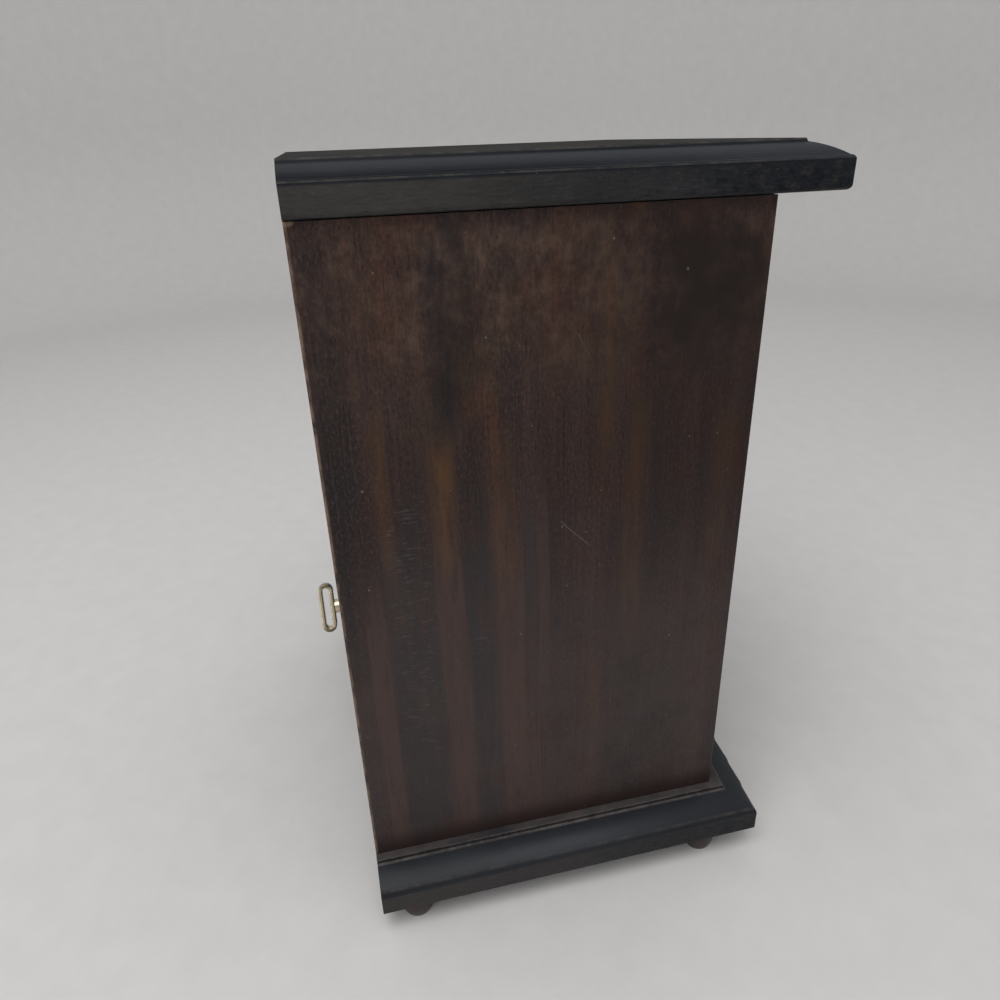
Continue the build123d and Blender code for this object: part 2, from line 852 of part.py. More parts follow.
# The tray: a divider down the middle, a padded roll for rings on the left and a velvet pad on the right
divider_left = rod_x - divider_thick / 2
divider_right = rod_x + divider_thick / 2
divider_back_y = rod_y - rod_radius - reveal
keep(
    "tray_divider",
    board((divider_left, fronts_y, tray_z), (divider_right, divider_back_y, tray_z + divider_height)),
)
ring_left = -inner_half + easy_fit
ring_right = divider_left - easy_fit
ring_front = fronts_y + easy_fit
ring_back = back_inside - easy_fit
roll_pitch = (ring_back - ring_front) / ring_roll_count
roll_top = tray_z + touch_gap + ring_pad_height
with BuildPart() as ring_pad:
    with BuildSketch(Plane.YZ.offset(ring_left)):
        with BuildLine():
            Polyline(
                (ring_front, tray_z + touch_gap + ring_pad_base),
                (ring_front, tray_z + touch_gap),
                (ring_back, tray_z + touch_gap),
                (ring_back, tray_z + touch_gap + ring_pad_base),
            )
            for roll in range(ring_roll_count):
                roll_front = ring_front + roll * roll_pitch
                ThreePointArc(
                    (roll_front, tray_z + touch_gap + ring_pad_base),
                    (roll_front + roll_pitch / 2, roll_top),
                    (roll_front + roll_pitch, tray_z + touch_gap + ring_pad_base),
                )
        make_face()
    extrude(amount=ring_right - ring_left)
keep("ring_pad", ring_pad.part)
keep(
    "tray_pad",
    board(
        (divider_right + easy_fit, fronts_y + easy_fit, tray_z + touch_gap),
        (inner_half - easy_fit, back_inside - easy_fit, tray_z + touch_gap + pad_thick),
    ),
)

# The lid: a bow-fronted board like the base, with a mirror let into its underside behind a thin frame
lid_plan = bowed_plan(-lid_half, lid_half, back_y, lid_radius)
lid_passes = router_passes(lid_waste(), lid_half, lid_radius, lid_bottom)
mirror_back_y = back_inside - mirror_setback
mirror_depth = mirror_back_y - fronts_y - mirror_front_margin
mirror_middle_y = mirror_back_y - mirror_depth / 2
with BuildPart() as lid_board:
    with BuildSketch(Plane.XY.offset(lid_bottom)):
        add(lid_plan)
    extrude(amount=lid_thick)
    for router_pass in lid_passes:
        add(router_pass, mode=Mode.SUBTRACT)
    with BuildSketch(Plane.XY.offset(lid_bottom)):
        with Locations((0, mirror_middle_y)):
            Rectangle(mirror_width + 2 * easy_fit, mirror_depth + 2 * easy_fit)
    extrude(amount=mirror_recess, mode=Mode.SUBTRACT)
    with Locations(*[plane.location for plane in lid_hinge_planes]):
        add(lid_mortise, mode=Mode.SUBTRACT)
keep("lid_board", lid_board.part)
mirror_low = lid_bottom + mirror_recess - mirror_thick
keep(
    "lid_mirror",
    board(
        (-mirror_width / 2, mirror_back_y - mirror_depth, mirror_low),
        (mirror_width / 2, mirror_back_y, mirror_low + mirror_thick),
    ),
)
with BuildPart() as mirror_frame:
    with BuildSketch(Plane.XY.offset(lid_bottom)):
        with Locations((0, mirror_middle_y)):
            RectangleRounded(
                mirror_width + mirror_frame_width,
                mirror_depth + mirror_frame_width,
                mirror_frame_corner,
            )
            RectangleRounded(
                mirror_width - mirror_frame_width,
                mirror_depth - mirror_frame_width,
                mirror_frame_corner,
                mode=Mode.SUBTRACT,
            )
    extrude(amount=-mirror_frame_thick)
    chamfer(mirror_frame.faces().sort_by(Axis.Z)[0].edges(), length=mirror_frame_thick / 2)
keep("mirror_frame", mirror_frame.part)

# The movement's bedplate: a cast plate with the comb's block, two axle posts and the barrel's seat
plate_width = plate_left + plate_right
plate_length = plate_low + plate_high
comb_width = comb_teeth * comb_pitch
comb_middle = comb_left + comb_width / 2
comb_clamp_y = comb_back_y + comb_back / 2
comb_screws_at = [(comb_middle + side * comb_screw_spacing / 2, comb_clamp_y) for side in (-1, 1)]
bracket_foot = (fly_x - bracket_reach, fly_y)
cross = Plane(origin=works.origin, x_dir=(0, -1, 0), z_dir=(1, 0, 0))
with BuildPart() as movement_bedplate:
    with BuildSketch(works):
        with Locations(((plate_right - plate_left) / 2, (plate_high - plate_low) / 2)):
            RectangleRounded(plate_width, plate_length, plate_corner)
    extrude(amount=plate_thick)
    with BuildSketch(works.offset(plate_thick)):
        Circle(seat_radius)
    extrude(amount=seat_height)
    with BuildSketch(works.offset(plate_thick)):
        with Locations((comb_middle, comb_clamp_y)):
            Rectangle(comb_width + 2 * comb_block_margin, comb_back)
    extrude(amount=comb_low - plate_thick)
    for post_right in (inner_post_x, outer_post_x):
        with BuildSketch(works.offset(plate_thick)):
            with Locations((post_right - post_thick / 2, 0)):
                Rectangle(post_thick, 2 * post_half_width)
        extrude(amount=cylinder_height + post_half_width - plate_thick)
    with BuildSketch(works):
        Circle(arbor_radius + running_fit)
        with Locations((fly_x, fly_y)):
            Circle(fly_shaft_radius + running_fit)
        with Locations(*plate_screws):
            Circle(screw_radius + running_fit)
    extrude(amount=plate_thick + seat_height, mode=Mode.SUBTRACT)
    with BuildSketch(works.offset(plate_thick)):
        with Locations(*comb_screws_at):
            Circle(comb_screw_radius + running_fit)
    extrude(amount=comb_low - plate_thick, mode=Mode.SUBTRACT)
    with BuildSketch(cross.offset(-plate_left)):
        with Locations((cylinder_height, 0)):
            Circle(axle_radius + running_fit)
    extrude(amount=plate_left, mode=Mode.SUBTRACT)
keep("movement_bedplate", movement_bedplate.part)

# Three screws hold the bedplate through the back
with BuildPart() as movement_screws:
    with BuildSketch(works.offset(-panel_thick)):
        with Locations(*plate_screws):
            Circle(screw_radius)
    extrude(amount=panel_thick + plate_thick)
    with BuildSketch(works.offset(-panel_thick)):
        with Locations(*plate_screws):
            Circle(screw_head_radius)
    extrude(amount=-screw_head_height)
    chamfer(movement_screws.faces().sort_by(Axis.Y)[-3:].edges(), length=screw_head_height / 2)
keep("movement_screws", movement_screws.part)

# The winding arbor: shoulder, head and a thinner tail that the key screws on to
key_bow_y = back_y + key_reach - key_bow_thick
tail_length = key_bow_y - back_inside - running_fit
with BuildPart() as winding_arbor:
    with BuildSketch(works.offset(running_fit)):
        Circle(arbor_radius)
    extrude(amount=barrel_top)
    with BuildSketch(works.offset(barrel_top + running_fit)):
        Circle(arbor_head_radius)
    extrude(amount=arbor_head_thick)
    with BuildSketch(works.offset(running_fit)):
        Circle(arbor_tail_radius)
    extrude(amount=-tail_length)
keep("winding_arbor", winding_arbor.part)

# The key: a strip bent into a long loop, on a round boss
key_turned = radians(key_turn)
key_plane = Plane(
    origin=(arbor_x, back_y + key_reach - key_bow_thick / 2, arbor_z),
    x_dir=(sin(key_turned), 0, cos(key_turned)),
    z_dir=(cos(key_turned), 0, -sin(key_turned)),
)
boss_base_y = back_outside + key_boss_gap
with BuildPart() as winding_key:
    with BuildSketch(key_plane.offset(-key_bow_width / 2)):
        SlotOverall(key_bow_length, key_bow_thick)
        SlotOverall(key_bow_length - 2 * key_strip, key_bow_thick - 2 * key_strip, mode=Mode.SUBTRACT)
    extrude(amount=key_bow_width)
    fillet(winding_key.edges().filter_by(GeomType.LINE, reverse=True), radius=key_edge_round)
    with BuildSketch(Plane(origin=(arbor_x, boss_base_y, arbor_z), x_dir=(1, 0, 0), z_dir=(0, 1, 0))):
        Circle(key_boss_radius)
    extrude(amount=key_bow_y + key_strip / 2 - boss_base_y)
    with BuildSketch(Plane(origin=(arbor_x, boss_base_y, arbor_z), x_dir=(1, 0, 0), z_dir=(0, 1, 0))):
        Circle(arbor_tail_radius + running_fit)
    extrude(amount=key_bow_y - boss_base_y, mode=Mode.SUBTRACT)
keep("winding_key", winding_key.part)

# The spring barrel: a drum on a flange with spur teeth round its rim and crown teeth on its face
crown_half = (pi * crown_module / 2 - mesh_play) / 2
first_spur = fly_angle + 180 / spur_teeth
barrel_outline = spur(spur_teeth, spur_module, first_spur)
with BuildPart() as crown_tooth:
    with BuildSketch(Plane.YZ.offset(crown_inner)):
        with BuildLine():
            Polyline(
                (-crown_root_spread * crown_half, 0),
                (-crown_tip_spread * crown_half, crown_height),
                (crown_tip_spread * crown_half, crown_height),
                (crown_root_spread * crown_half, 0),
                close=True,
            )
        make_face()
    extrude(amount=crown_outer - crown_inner)
one_crown_tooth = crown_tooth.part
with BuildPart() as spring_barrel:
    with BuildSketch(works.offset(flange_low)):
        add(barrel_outline)
    extrude(amount=flange_thick)
    with BuildSketch(works.offset(flange_top)):
        Circle(barrel_radius)
    extrude(amount=barrel_height)
    chamfer(spring_barrel.faces().sort_by(Axis.Y)[0].edges(), length=barrel_chamfer)
    with Locations(works.offset(flange_top).location):
        with PolarLocations(0, crown_teeth, start_angle=180 + 180 / crown_teeth):
            add(one_crown_tooth)
    with BuildSketch(works.offset(flange_low)):
        Circle(arbor_radius + running_fit)
    extrude(amount=flange_thick + barrel_height, mode=Mode.SUBTRACT)
keep("spring_barrel", spring_barrel.part)

# The cylinder: a drum whose pins pluck the comb, an end gear in mesh with the crown, and its axle
track_first = drum_x - cylinder_length / 2 + comb_width / 2 - comb_pitch / 2
axis_y = works.origin.Y - cylinder_height


def pin_place(track, note):
    """Where a pin of one track stands on the drum, square to its surface."""
    turn = radians(track * track_turn + note * 360 / pins_per_track + note * track * note_turn)
    return Plane(
        origin=(arbor_x + track_first - track * comb_pitch, axis_y, arbor_z),
        x_dir=(1, 0, 0),
        z_dir=(0, cos(turn), sin(turn)),
    ).location


pin_places = [pin_place(track, note) for track in range(comb_teeth) for note in range(pins_per_track)]
with BuildPart() as pin:
    with BuildSketch(Plane.XY.offset(cylinder_radius - pin_size)):
        Rectangle(pin_size, pin_size)
    extrude(amount=pin_height + pin_size)
one_pin = pin.part
with BuildPart() as pinned_cylinder:
    with BuildSketch(cross.offset(drum_x)):
        with Locations((cylinder_height, 0)):
            Circle(cylinder_radius)
            Circle(axle_radius, mode=Mode.SUBTRACT)
    extrude(amount=-cylinder_length)
    with Locations(*pin_places):
        add(one_pin)
keep("pinned_cylinder", pinned_cylinder.part)
with BuildPart() as cylinder_gear:
    with BuildSketch(cross.offset(cylinder_gear_x)):
        with Locations((cylinder_height, 0)):
            add(spur(cylinder_teeth, crown_module, 180))
            Circle(axle_radius, mode=Mode.SUBTRACT)
    extrude(amount=-gear_width)
keep("cylinder_gear", cylinder_gear.part)
axle_end = outer_post_x - post_thick
keep(
    "cylinder_axle",
    bar(
        axle_radius,
        (arbor_x + cylinder_gear_x, axis_y, arbor_z),
        (arbor_x + axle_end, axis_y, arbor_z),
    ),
)

# The comb: a steel plate slit into tuned teeth, clamped to its block by two screws
with BuildPart() as comb:
    with BuildSketch(works.offset(comb_low)):
        with Locations((comb_middle, (comb_tip_y + comb_back_y) / 2)):
            Rectangle(comb_width, comb_tip_y - comb_back_y)
        for slit in range(1, comb_teeth):
            with Locations((comb_left + slit * comb_pitch, (comb_tip_y + comb_root_y) / 2)):
                Rectangle(comb_slot, comb_tip_y - comb_root_y, mode=Mode.SUBTRACT)
        with Locations(*comb_screws_at):
            Circle(comb_screw_radius + running_fit, mode=Mode.SUBTRACT)
    extrude(amount=comb_thick)
keep("comb", comb.part)
with BuildPart() as comb_screws:
    with BuildSketch(works.offset(comb_low + comb_thick)):
        with Locations(*comb_screws_at):
            Circle(comb_screw_head_radius)
    extrude(amount=screw_head_height)
    with BuildSketch(works.offset(comb_low + comb_thick)):
        with Locations(*comb_screws_at):
            Circle(comb_screw_radius)
    extrude(amount=-comb_thick - comb_screw_grip)
keep("comb_screws", comb_screws.part)

# The governor: a pinion and a two-bladed air brake on one shaft, held by a bracket from the plate
with BuildPart() as governor_fly:
    with BuildSketch(works.offset(running_fit)):
        with Locations((fly_x, fly_y)):
            Circle(fly_shaft_radius)
    extrude(amount=bracket_top + bracket_thick)
    with BuildSketch(works.offset(flange_low)):
        with Locations(Location((fly_x, fly_y))):
            add(spur(fly_teeth, spur_module, fly_angle + 180))
    extrude(amount=flange_thick)
    with BuildSketch(works.offset(bracket_top - fly_blade_height - post_gap)):
        with Locations(Location((fly_x, fly_y), fly_angle)):
            Rectangle(2 * fly_radius, fly_blade_thick)
    extrude(amount=fly_blade_height)
keep("governor_fly", governor_fly.part)
with BuildPart() as governor_bracket:
    with BuildSketch(works.offset(plate_thick)):
        with Locations(bracket_foot):
            Rectangle(bracket_thick, bracket_width)
    extrude(amount=bracket_top - plate_thick)
    with BuildSketch(works.offset(bracket_top)):
        with Locations((fly_x - bracket_reach / 2, fly_y)):
            RectangleRounded(bracket_reach + bracket_width, bracket_width, bracket_corner)
        with Locations((fly_x, fly_y)):
            Circle(fly_shaft_radius + running_fit, mode=Mode.SUBTRACT)
    extrude(amount=bracket_thick)
keep("governor_bracket", governor_bracket.part)

# The stop rod: a wire from just above the air brake up to the lid's underside
rod_low = arbor_z + fly_y + fly_radius + touch_gap
keep("stop_rod", bar(rod_radius, (rod_x, rod_y, rod_low), (rod_x, rod_y, lid_bottom - touch_gap)))
print(f"{len(pieces)} pieces written")
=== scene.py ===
from math import cos, hypot, pi, radians, sin

import bpy
import bmesh
from mathutils import Matrix, Vector, noise


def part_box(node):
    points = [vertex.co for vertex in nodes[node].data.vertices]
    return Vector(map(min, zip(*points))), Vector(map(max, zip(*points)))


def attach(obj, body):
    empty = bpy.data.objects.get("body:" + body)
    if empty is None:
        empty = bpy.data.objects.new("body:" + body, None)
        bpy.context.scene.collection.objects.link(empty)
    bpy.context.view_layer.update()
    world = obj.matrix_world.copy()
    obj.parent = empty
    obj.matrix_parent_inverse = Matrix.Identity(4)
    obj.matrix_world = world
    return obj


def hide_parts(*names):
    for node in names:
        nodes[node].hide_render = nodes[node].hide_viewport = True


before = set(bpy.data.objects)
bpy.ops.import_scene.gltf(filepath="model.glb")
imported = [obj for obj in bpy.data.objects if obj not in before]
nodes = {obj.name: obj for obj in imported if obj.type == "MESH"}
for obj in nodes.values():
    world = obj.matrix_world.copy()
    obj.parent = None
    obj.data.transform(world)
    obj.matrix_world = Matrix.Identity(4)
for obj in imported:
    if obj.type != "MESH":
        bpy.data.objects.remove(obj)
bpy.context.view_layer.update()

# The base board: one thick board of solid wood that the case is glued on, bow-fronted, its sides and front
# routed to a long bevel and a round nose below a narrow ledge. Its satin black paint is dusty on the ledge
# and rubbed thin along the arrises.
base_low, base_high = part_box("base_board")
base_half = base_high.x
base_height = base_high.z - base_low.z
base_rise = 0.0055
base_bow_radius = (base_half**2 + base_rise**2) / (2 * base_rise)
bow_centre_y = base_low.y + base_bow_radius


def new_finish(name, slot_name):
    """A node material with its tree and shader; its name is kept for the record's slot."""
    made = bpy.data.materials.new(name)
    made.use_nodes = True
    made["slot"] = slot_name
    return made, made.node_tree, made.node_tree.nodes["Principled BSDF"]


def put(tree, kind, sockets=None, family="ShaderNode", **settings):
    """Add a node, set its options, and wire or set its sockets by name or number."""
    node = tree.nodes.new(family + kind)
    for key, value in settings.items():
        setattr(node, key, value)
    for key, value in (sockets or {}).items():
        if isinstance(value, bpy.types.NodeSocket):
            tree.links.new(value, node.inputs[key])
        else:
            node.inputs[key].default_value = value
    return node


def calc(tree, operation, first, second=0.0):
    """One step of arithmetic."""
    return put(tree, "Math", {0: first, 1: second}, operation=operation).outputs[0]


def times(tree, *factors):
    """The product of two or more values."""
    product = factors[0]
    for factor in factors[1:]:
        product = calc(tree, "MULTIPLY", product, factor)
    return product


def scaled(tree, value, by, plus, clamp=False):
    """A value times a second one, plus a third."""
    sockets = {0: value, 1: by, 2: plus}
    return put(tree, "Math", sockets, operation="MULTIPLY_ADD", use_clamp=clamp).outputs[0]


def away(tree, value, middle):
    """How far a value lies from a middle."""
    return calc(tree, "ABSOLUTE", calc(tree, "SUBTRACT", value, middle))


def squared(tree, across, up):
    """The square of the distance that two offsets make."""
    return calc(tree, "ADD", times(tree, across, across), times(tree, up, up))


def fade(tree, value, low, high):
    """A smooth step from 0 at low to 1 at high; it falls where low is the larger."""
    sockets = {"Value": value, "From Min": low, "From Max": high}
    return put(tree, "MapRange", sockets, interpolation_type="SMOOTHSTEP").outputs["Result"]


def blend(tree, share, first, second, how="MIX"):
    """Two colours mixed by a share."""
    sockets = {0: share, 6: first, 7: second}
    return put(tree, "Mix", sockets, data_type="RGBA", blend_type=how).outputs[2]


def tint(tree, colour, share, tone, strength=None):
    """A colour mixed towards a fixed tone by a share, or by the given part of it."""
    if strength is not None:
        share = times(tree, share, strength)
    return blend(tree, share, colour, (*tone, 1.0))


def spots(tree, where, scale, detail=3.0, rough=0.5, distort=0.0):
    """Noise stretched by three scales, in repeats per metre."""
    stretched = put(tree, "VectorMath", {0: where, 1: scale}, operation="MULTIPLY").outputs[0]
    shape = {"Scale": 1.0, "Detail": detail, "Roughness": rough, "Distortion": distort}
    return put(tree, "TexNoise", {"Vector": stretched, **shape}).outputs["Fac"]


def ramp(tree, value, stops):
    """A colour ramp with (place, colour) stops."""
    node = put(tree, "ValToRGB", {"Fac": value})
    while len(node.color_ramp.elements) < len(stops):
        node.color_ramp.elements.new(0.5)
    for element, (place, colour) in zip(node.color_ramp.elements, stops):
        element.position = place
        element.color = (*colour, 1.0)
    return node.outputs["Color"]


def bump(tree, shader, height, depth, under=None):
    """Relief of a given depth in metres."""
    sockets = {"Height": height, "Distance": depth, "Strength": 1.0}
    if under is not None:
        sockets["Normal"] = under
    made = put(tree, "Bump", sockets).outputs["Normal"]
    tree.links.new(made, shader.inputs["Normal"])
    return made


def here(tree):
    """The object's own coordinates, in metres, with x, y and z apart."""
    where = put(tree, "TexCoord").outputs["Object"]
    axes = put(tree, "SeparateXYZ", {"Vector": where}).outputs
    return where, axes["X"], axes["Y"], axes["Z"]


def dress(finish, *names):
    """Give CAD nodes their finish."""
    for name in names:
        nodes[name].data.materials.clear()
        nodes[name].data.materials.append(finish)


def moulded_edge(tree, x, y, z, half, bow_radius, bottom):
    """How far in from the side or the bow of a board a point lies, and how high above its bottom."""
    from_side = calc(tree, "SUBTRACT", half, calc(tree, "ABSOLUTE", x))
    from_axis = calc(tree, "SUBTRACT", y, bow_centre_y)
    squares = squared(tree, x, from_axis)
    from_front = calc(tree, "SUBTRACT", bow_radius, calc(tree, "SQRT", squares))
    inward = calc(tree, "MINIMUM", from_side, from_front)
    return inward, calc(tree, "SUBTRACT", z, bottom)


def near(tree, inward, height, corner, reach):
    """1 on an arris of the moulding, falling to 0 a little way off."""
    across = calc(tree, "SUBTRACT", inward, corner[0])
    up = calc(tree, "SUBTRACT", height, corner[1])
    squares = squared(tree, across, up)
    return fade(tree, calc(tree, "SQRT", squares), reach, reach * 0.25)


def ebonised(
    name,
    half,
    bow_radius,
    bottom,
    arrises,
    flat_from,
    face_top,
    dust_colour,
    rubbed_colour,
    face_colours,
    gloss,
    bevel_dust,
    nose_shade_strength,
    bevel_highlight,
):
    """Satin black paint, with the marks of use placed by the moulding's own distances.

    The sawn face below face_top is dull brown and pitted. Its brown is also painted light: paler towards
    the back, and giving way to black towards the front as painted shade. The bevel can hold dust and a pale
    painted highlight, the nose can take painted shade for a dark room reflected in the paint, and the flat
    past flat_from is dusty. Each rubbed arris is given by its place in from the edge and up from the
    bottom, its reach and its strength.
    """
    finish, tree, shader = new_finish(name, "ebonised")
    where, x, y, z = here(tree)
    inward, height = moulded_edge(tree, x, y, z, half, bow_radius, bottom)
    wide = spots(tree, where, (26.0, 26.0, 60.0), 4.0, 0.6)
    fine = spots(tree, where, (700.0, 500.0, 900.0), 3.0, 0.6)
    below_nose = fade(tree, height, face_top, face_top - 0.0008)
    face = times(tree, fade(tree, inward, 0.0008, 0.0001), below_nose)
    colour = ramp(tree, wide, ((0.30, (0.0085, 0.0100, 0.0130)), (0.72, (0.0150, 0.0170, 0.0210))))
    browned = ramp(tree, wide, ((0.30, face_colours[0]), (0.72, face_colours[1])))
    # The sawn face: dull brown, and also painted light, so that it is paler towards the back and darker
    # towards the front as painted shade; clotted towards the front, with lines of the brush
    drift = scaled(tree, spots(tree, where, (35.0, 35.0, 35.0), 4.0, 0.6), 0.05, y)
    dulled_and_lit = times(tree, face, fade(tree, drift, -0.045, 0.075))
    colour = blend(tree, dulled_and_lit, colour, browned)
    brushed = spots(tree, where, (1000.0, 170.0, 1300.0), 4.0, 0.75)
    dark_lines = times(tree, fade(tree, brushed, 0.50, 0.36), face)
    light_lines = times(tree, fade(tree, brushed, 0.51, 0.66), face)
    colour = tint(tree, colour, dark_lines, (0.0165, 0.0160, 0.0160), 0.28)
    colour = tint(tree, colour, light_lines, (0.066, 0.061, 0.058), 0.24)
    clotted = spots(tree, where, (330.0, 230.0, 330.0), 5.0, 0.75)
    ahead_share = times(tree, face, fade(tree, drift, 0.055, -0.055))
    light_clots = times(tree, ahead_share, fade(tree, clotted, 0.50, 0.66))
    dark_clots = times(tree, ahead_share, fade(tree, clotted, 0.48, 0.34))
    colour = tint(tree, colour, light_clots, (0.042, 0.035, 0.031), 0.55)
    colour = tint(tree, colour, dark_clots, (0.0045, 0.0050, 0.0075), 0.75)
    # The bevel and the nose: dust, painted shade along the nose and a painted highlight on the bevel
    settled = times(tree, fade(tree, inward, 0.0015, 0.0085), scaled(tree, wide, 0.9, 0.25))
    colour = tint(tree, colour, settled, (0.034, 0.034, 0.0315), bevel_dust)
    above_face = fade(tree, height, face_top, face_top + 0.0005)
    # Painted shade: the nose and the foot of the bevel darkened, most towards the back, for a dark room
    # reflected there
    nose_painted_shade = times(tree, fade(tree, inward, 0.0048, 0.0012), above_face, fade(tree, drift, -0.040, 0.030))
    colour = tint(tree, colour, nose_painted_shade, (0.0025, 0.0028, 0.0052), nose_shade_strength)
    # Painted highlight: a pale bluish patch along the middle of the bevel, where a lamp would shine on it
    off_middle = away(tree, y, 0.006)
    off_line = away(tree, inward, 0.0032)
    painted_highlight = times(tree, fade(tree, off_middle, 0.052, 0.0), fade(tree, off_line, 0.0040, 0.0004))
    painted_highlight = times(tree, painted_highlight, calc(tree, "SUBTRACT", 1.0, face))
    colour = tint(tree, colour, painted_highlight, (0.052, 0.060, 0.069), bevel_highlight)
    # The rubbed arrises
    worn = 0.0
    for corner, reach, strength in arrises:
        band = times(tree, near(tree, inward, height, corner, reach), strength)
        worn = calc(tree, "MAXIMUM", band, worn)
    patches = spots(tree, where, (190.0, 190.0, 190.0), 5.0, 0.7)
    rubbed = times(tree, worn, scaled(tree, fade(tree, patches, 0.40, 0.62), 0.65, 0.35))
    colour = tint(tree, colour, rubbed, rubbed_colour)
    # Dust on the flat, specks all over, and paler flecks on the face
    facing = put(tree, "NewGeometry").outputs["Normal"]
    up = put(tree, "SeparateXYZ", {"Vector": facing}).outputs["Z"]
    level = times(tree, fade(tree, up, 0.9, 0.99), fade(tree, inward, flat_from, flat_from + 0.0003))
    dust_noise = fade(tree, spots(tree, where, (150.0, 80.0, 160.0), 4.0, 0.65), 0.30, 0.72)
    dust = times(tree, level, scaled(tree, dust_noise, 0.45, 0.35))
    wiped_off = fade(tree, spots(tree, where, (14.0, 22.0, 14.0), 4.0, 0.6, 0.5), 0.62, 0.50)
    dust = times(tree, dust, scaled(tree, wiped_off, 0.55, 0.45))
    colour = tint(tree, colour, dust, dust_colour)
    specks = fade(tree, spots(tree, where, (1300.0, 1300.0, 1300.0), 1.0), 0.815, 0.84)
    colour = tint(tree, colour, specks, (0.20, 0.19, 0.17), 0.35)
    flecks = fade(tree, spots(tree, where, (900.0, 620.0, 900.0), 4.0, 0.7), 0.58, 0.70)
    colour = tint(tree, colour, times(tree, flecks, face), (0.085, 0.080, 0.076), 0.30)
    tree.links.new(colour, shader.inputs["Base Color"])
    rough = scaled(tree, wide, 0.12, 0.33)
    rough = scaled(tree, level, 0.55, rough)
    rough = scaled(tree, face, 0.20, rough, clamp=True)
    tree.links.new(rough, shader.inputs["Roughness"])
    shader.inputs["Specular IOR Level"].default_value = gloss
    pits = spots(tree, where, (900.0, 380.0, 800.0), 4.0, 0.7)
    depth = times(tree, calc(tree, "SUBTRACT", pits, 0.5), scaled(tree, face, 1.0, 0.18))
    swell = bump(tree, shader, spots(tree, where, (45.0, 45.0, 45.0), 2.0), 0.0003)
    fine_under = bump(tree, shader, fine, 0.00002, swell)
    bump(tree, shader, depth, 0.00030, fine_under)
    return finish


base_paint = ebonised(
    "black_paint_base",
    base_half,
    base_bow_radius,
    base_low.z,
    arrises=(
        ((0.0009, base_height - 0.0049), 0.0009, 0.30),
        ((0.0104, base_height - 0.0016), 0.0009, 0.85),
        ((0.0108, base_height), 0.0006, 0.85),
        ((0.0004, 0.0004), 0.0007, 0.35),
    ),
    flat_from=0.0108,
    face_top=base_height - 0.0071,
    dust_colour=(0.076, 0.061, 0.058),
    rubbed_colour=(0.105, 0.090, 0.082),
    face_colours=((0.0275, 0.0235, 0.0245), (0.0400, 0.0345, 0.0355)),
    gloss=0.19,
    bevel_dust=0.0,
    nose_shade_strength=0.0,
    bevel_highlight=0.34,
)
dress(base_paint, "base_board")

# The feet: four small turned buttons of a reddish wood, glued into the base on spigots. They are varnished
# and rubbed paler where they stand.
foot_finish, tree, shader = new_finish("foot_varnish", "foot_wood")
where, _, _, z = here(tree)
rings = spots(tree, where, (260.0, 260.0, 2200.0), 3.0, 0.6)
foot_colour = ramp(tree, rings, ((0.3, (0.018, 0.0105, 0.0100)), (0.7, (0.038, 0.0195, 0.0170))))
sole = fade(tree, z, 0.0012, 0.0002)
foot_colour = tint(tree, foot_colour, sole, (0.12, 0.085, 0.065), 0.7)
tree.links.new(foot_colour, shader.inputs["Base Color"])
shader.inputs["Roughness"].default_value = 0.38
bump(tree, shader, rings, 0.00006)
dress(foot_finish, "feet")

# The case: side and back boards of mahogany stained a dark walnut and thinly lacquered, with upright grain,
# glued together and to the base. The left board shows blackish and warm streaks and a paler band on top.
side_low, side_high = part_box("left_side_panel")
panel_bottom = side_low.z
back_y = side_high.y
marks_bottom = 0.023
marks_top = 0.2462


def drawn(letter, across, length):
    """Noise scales that draw a figure out along one axis."""
    return tuple(length if axis == letter else across for axis in "XYZ")


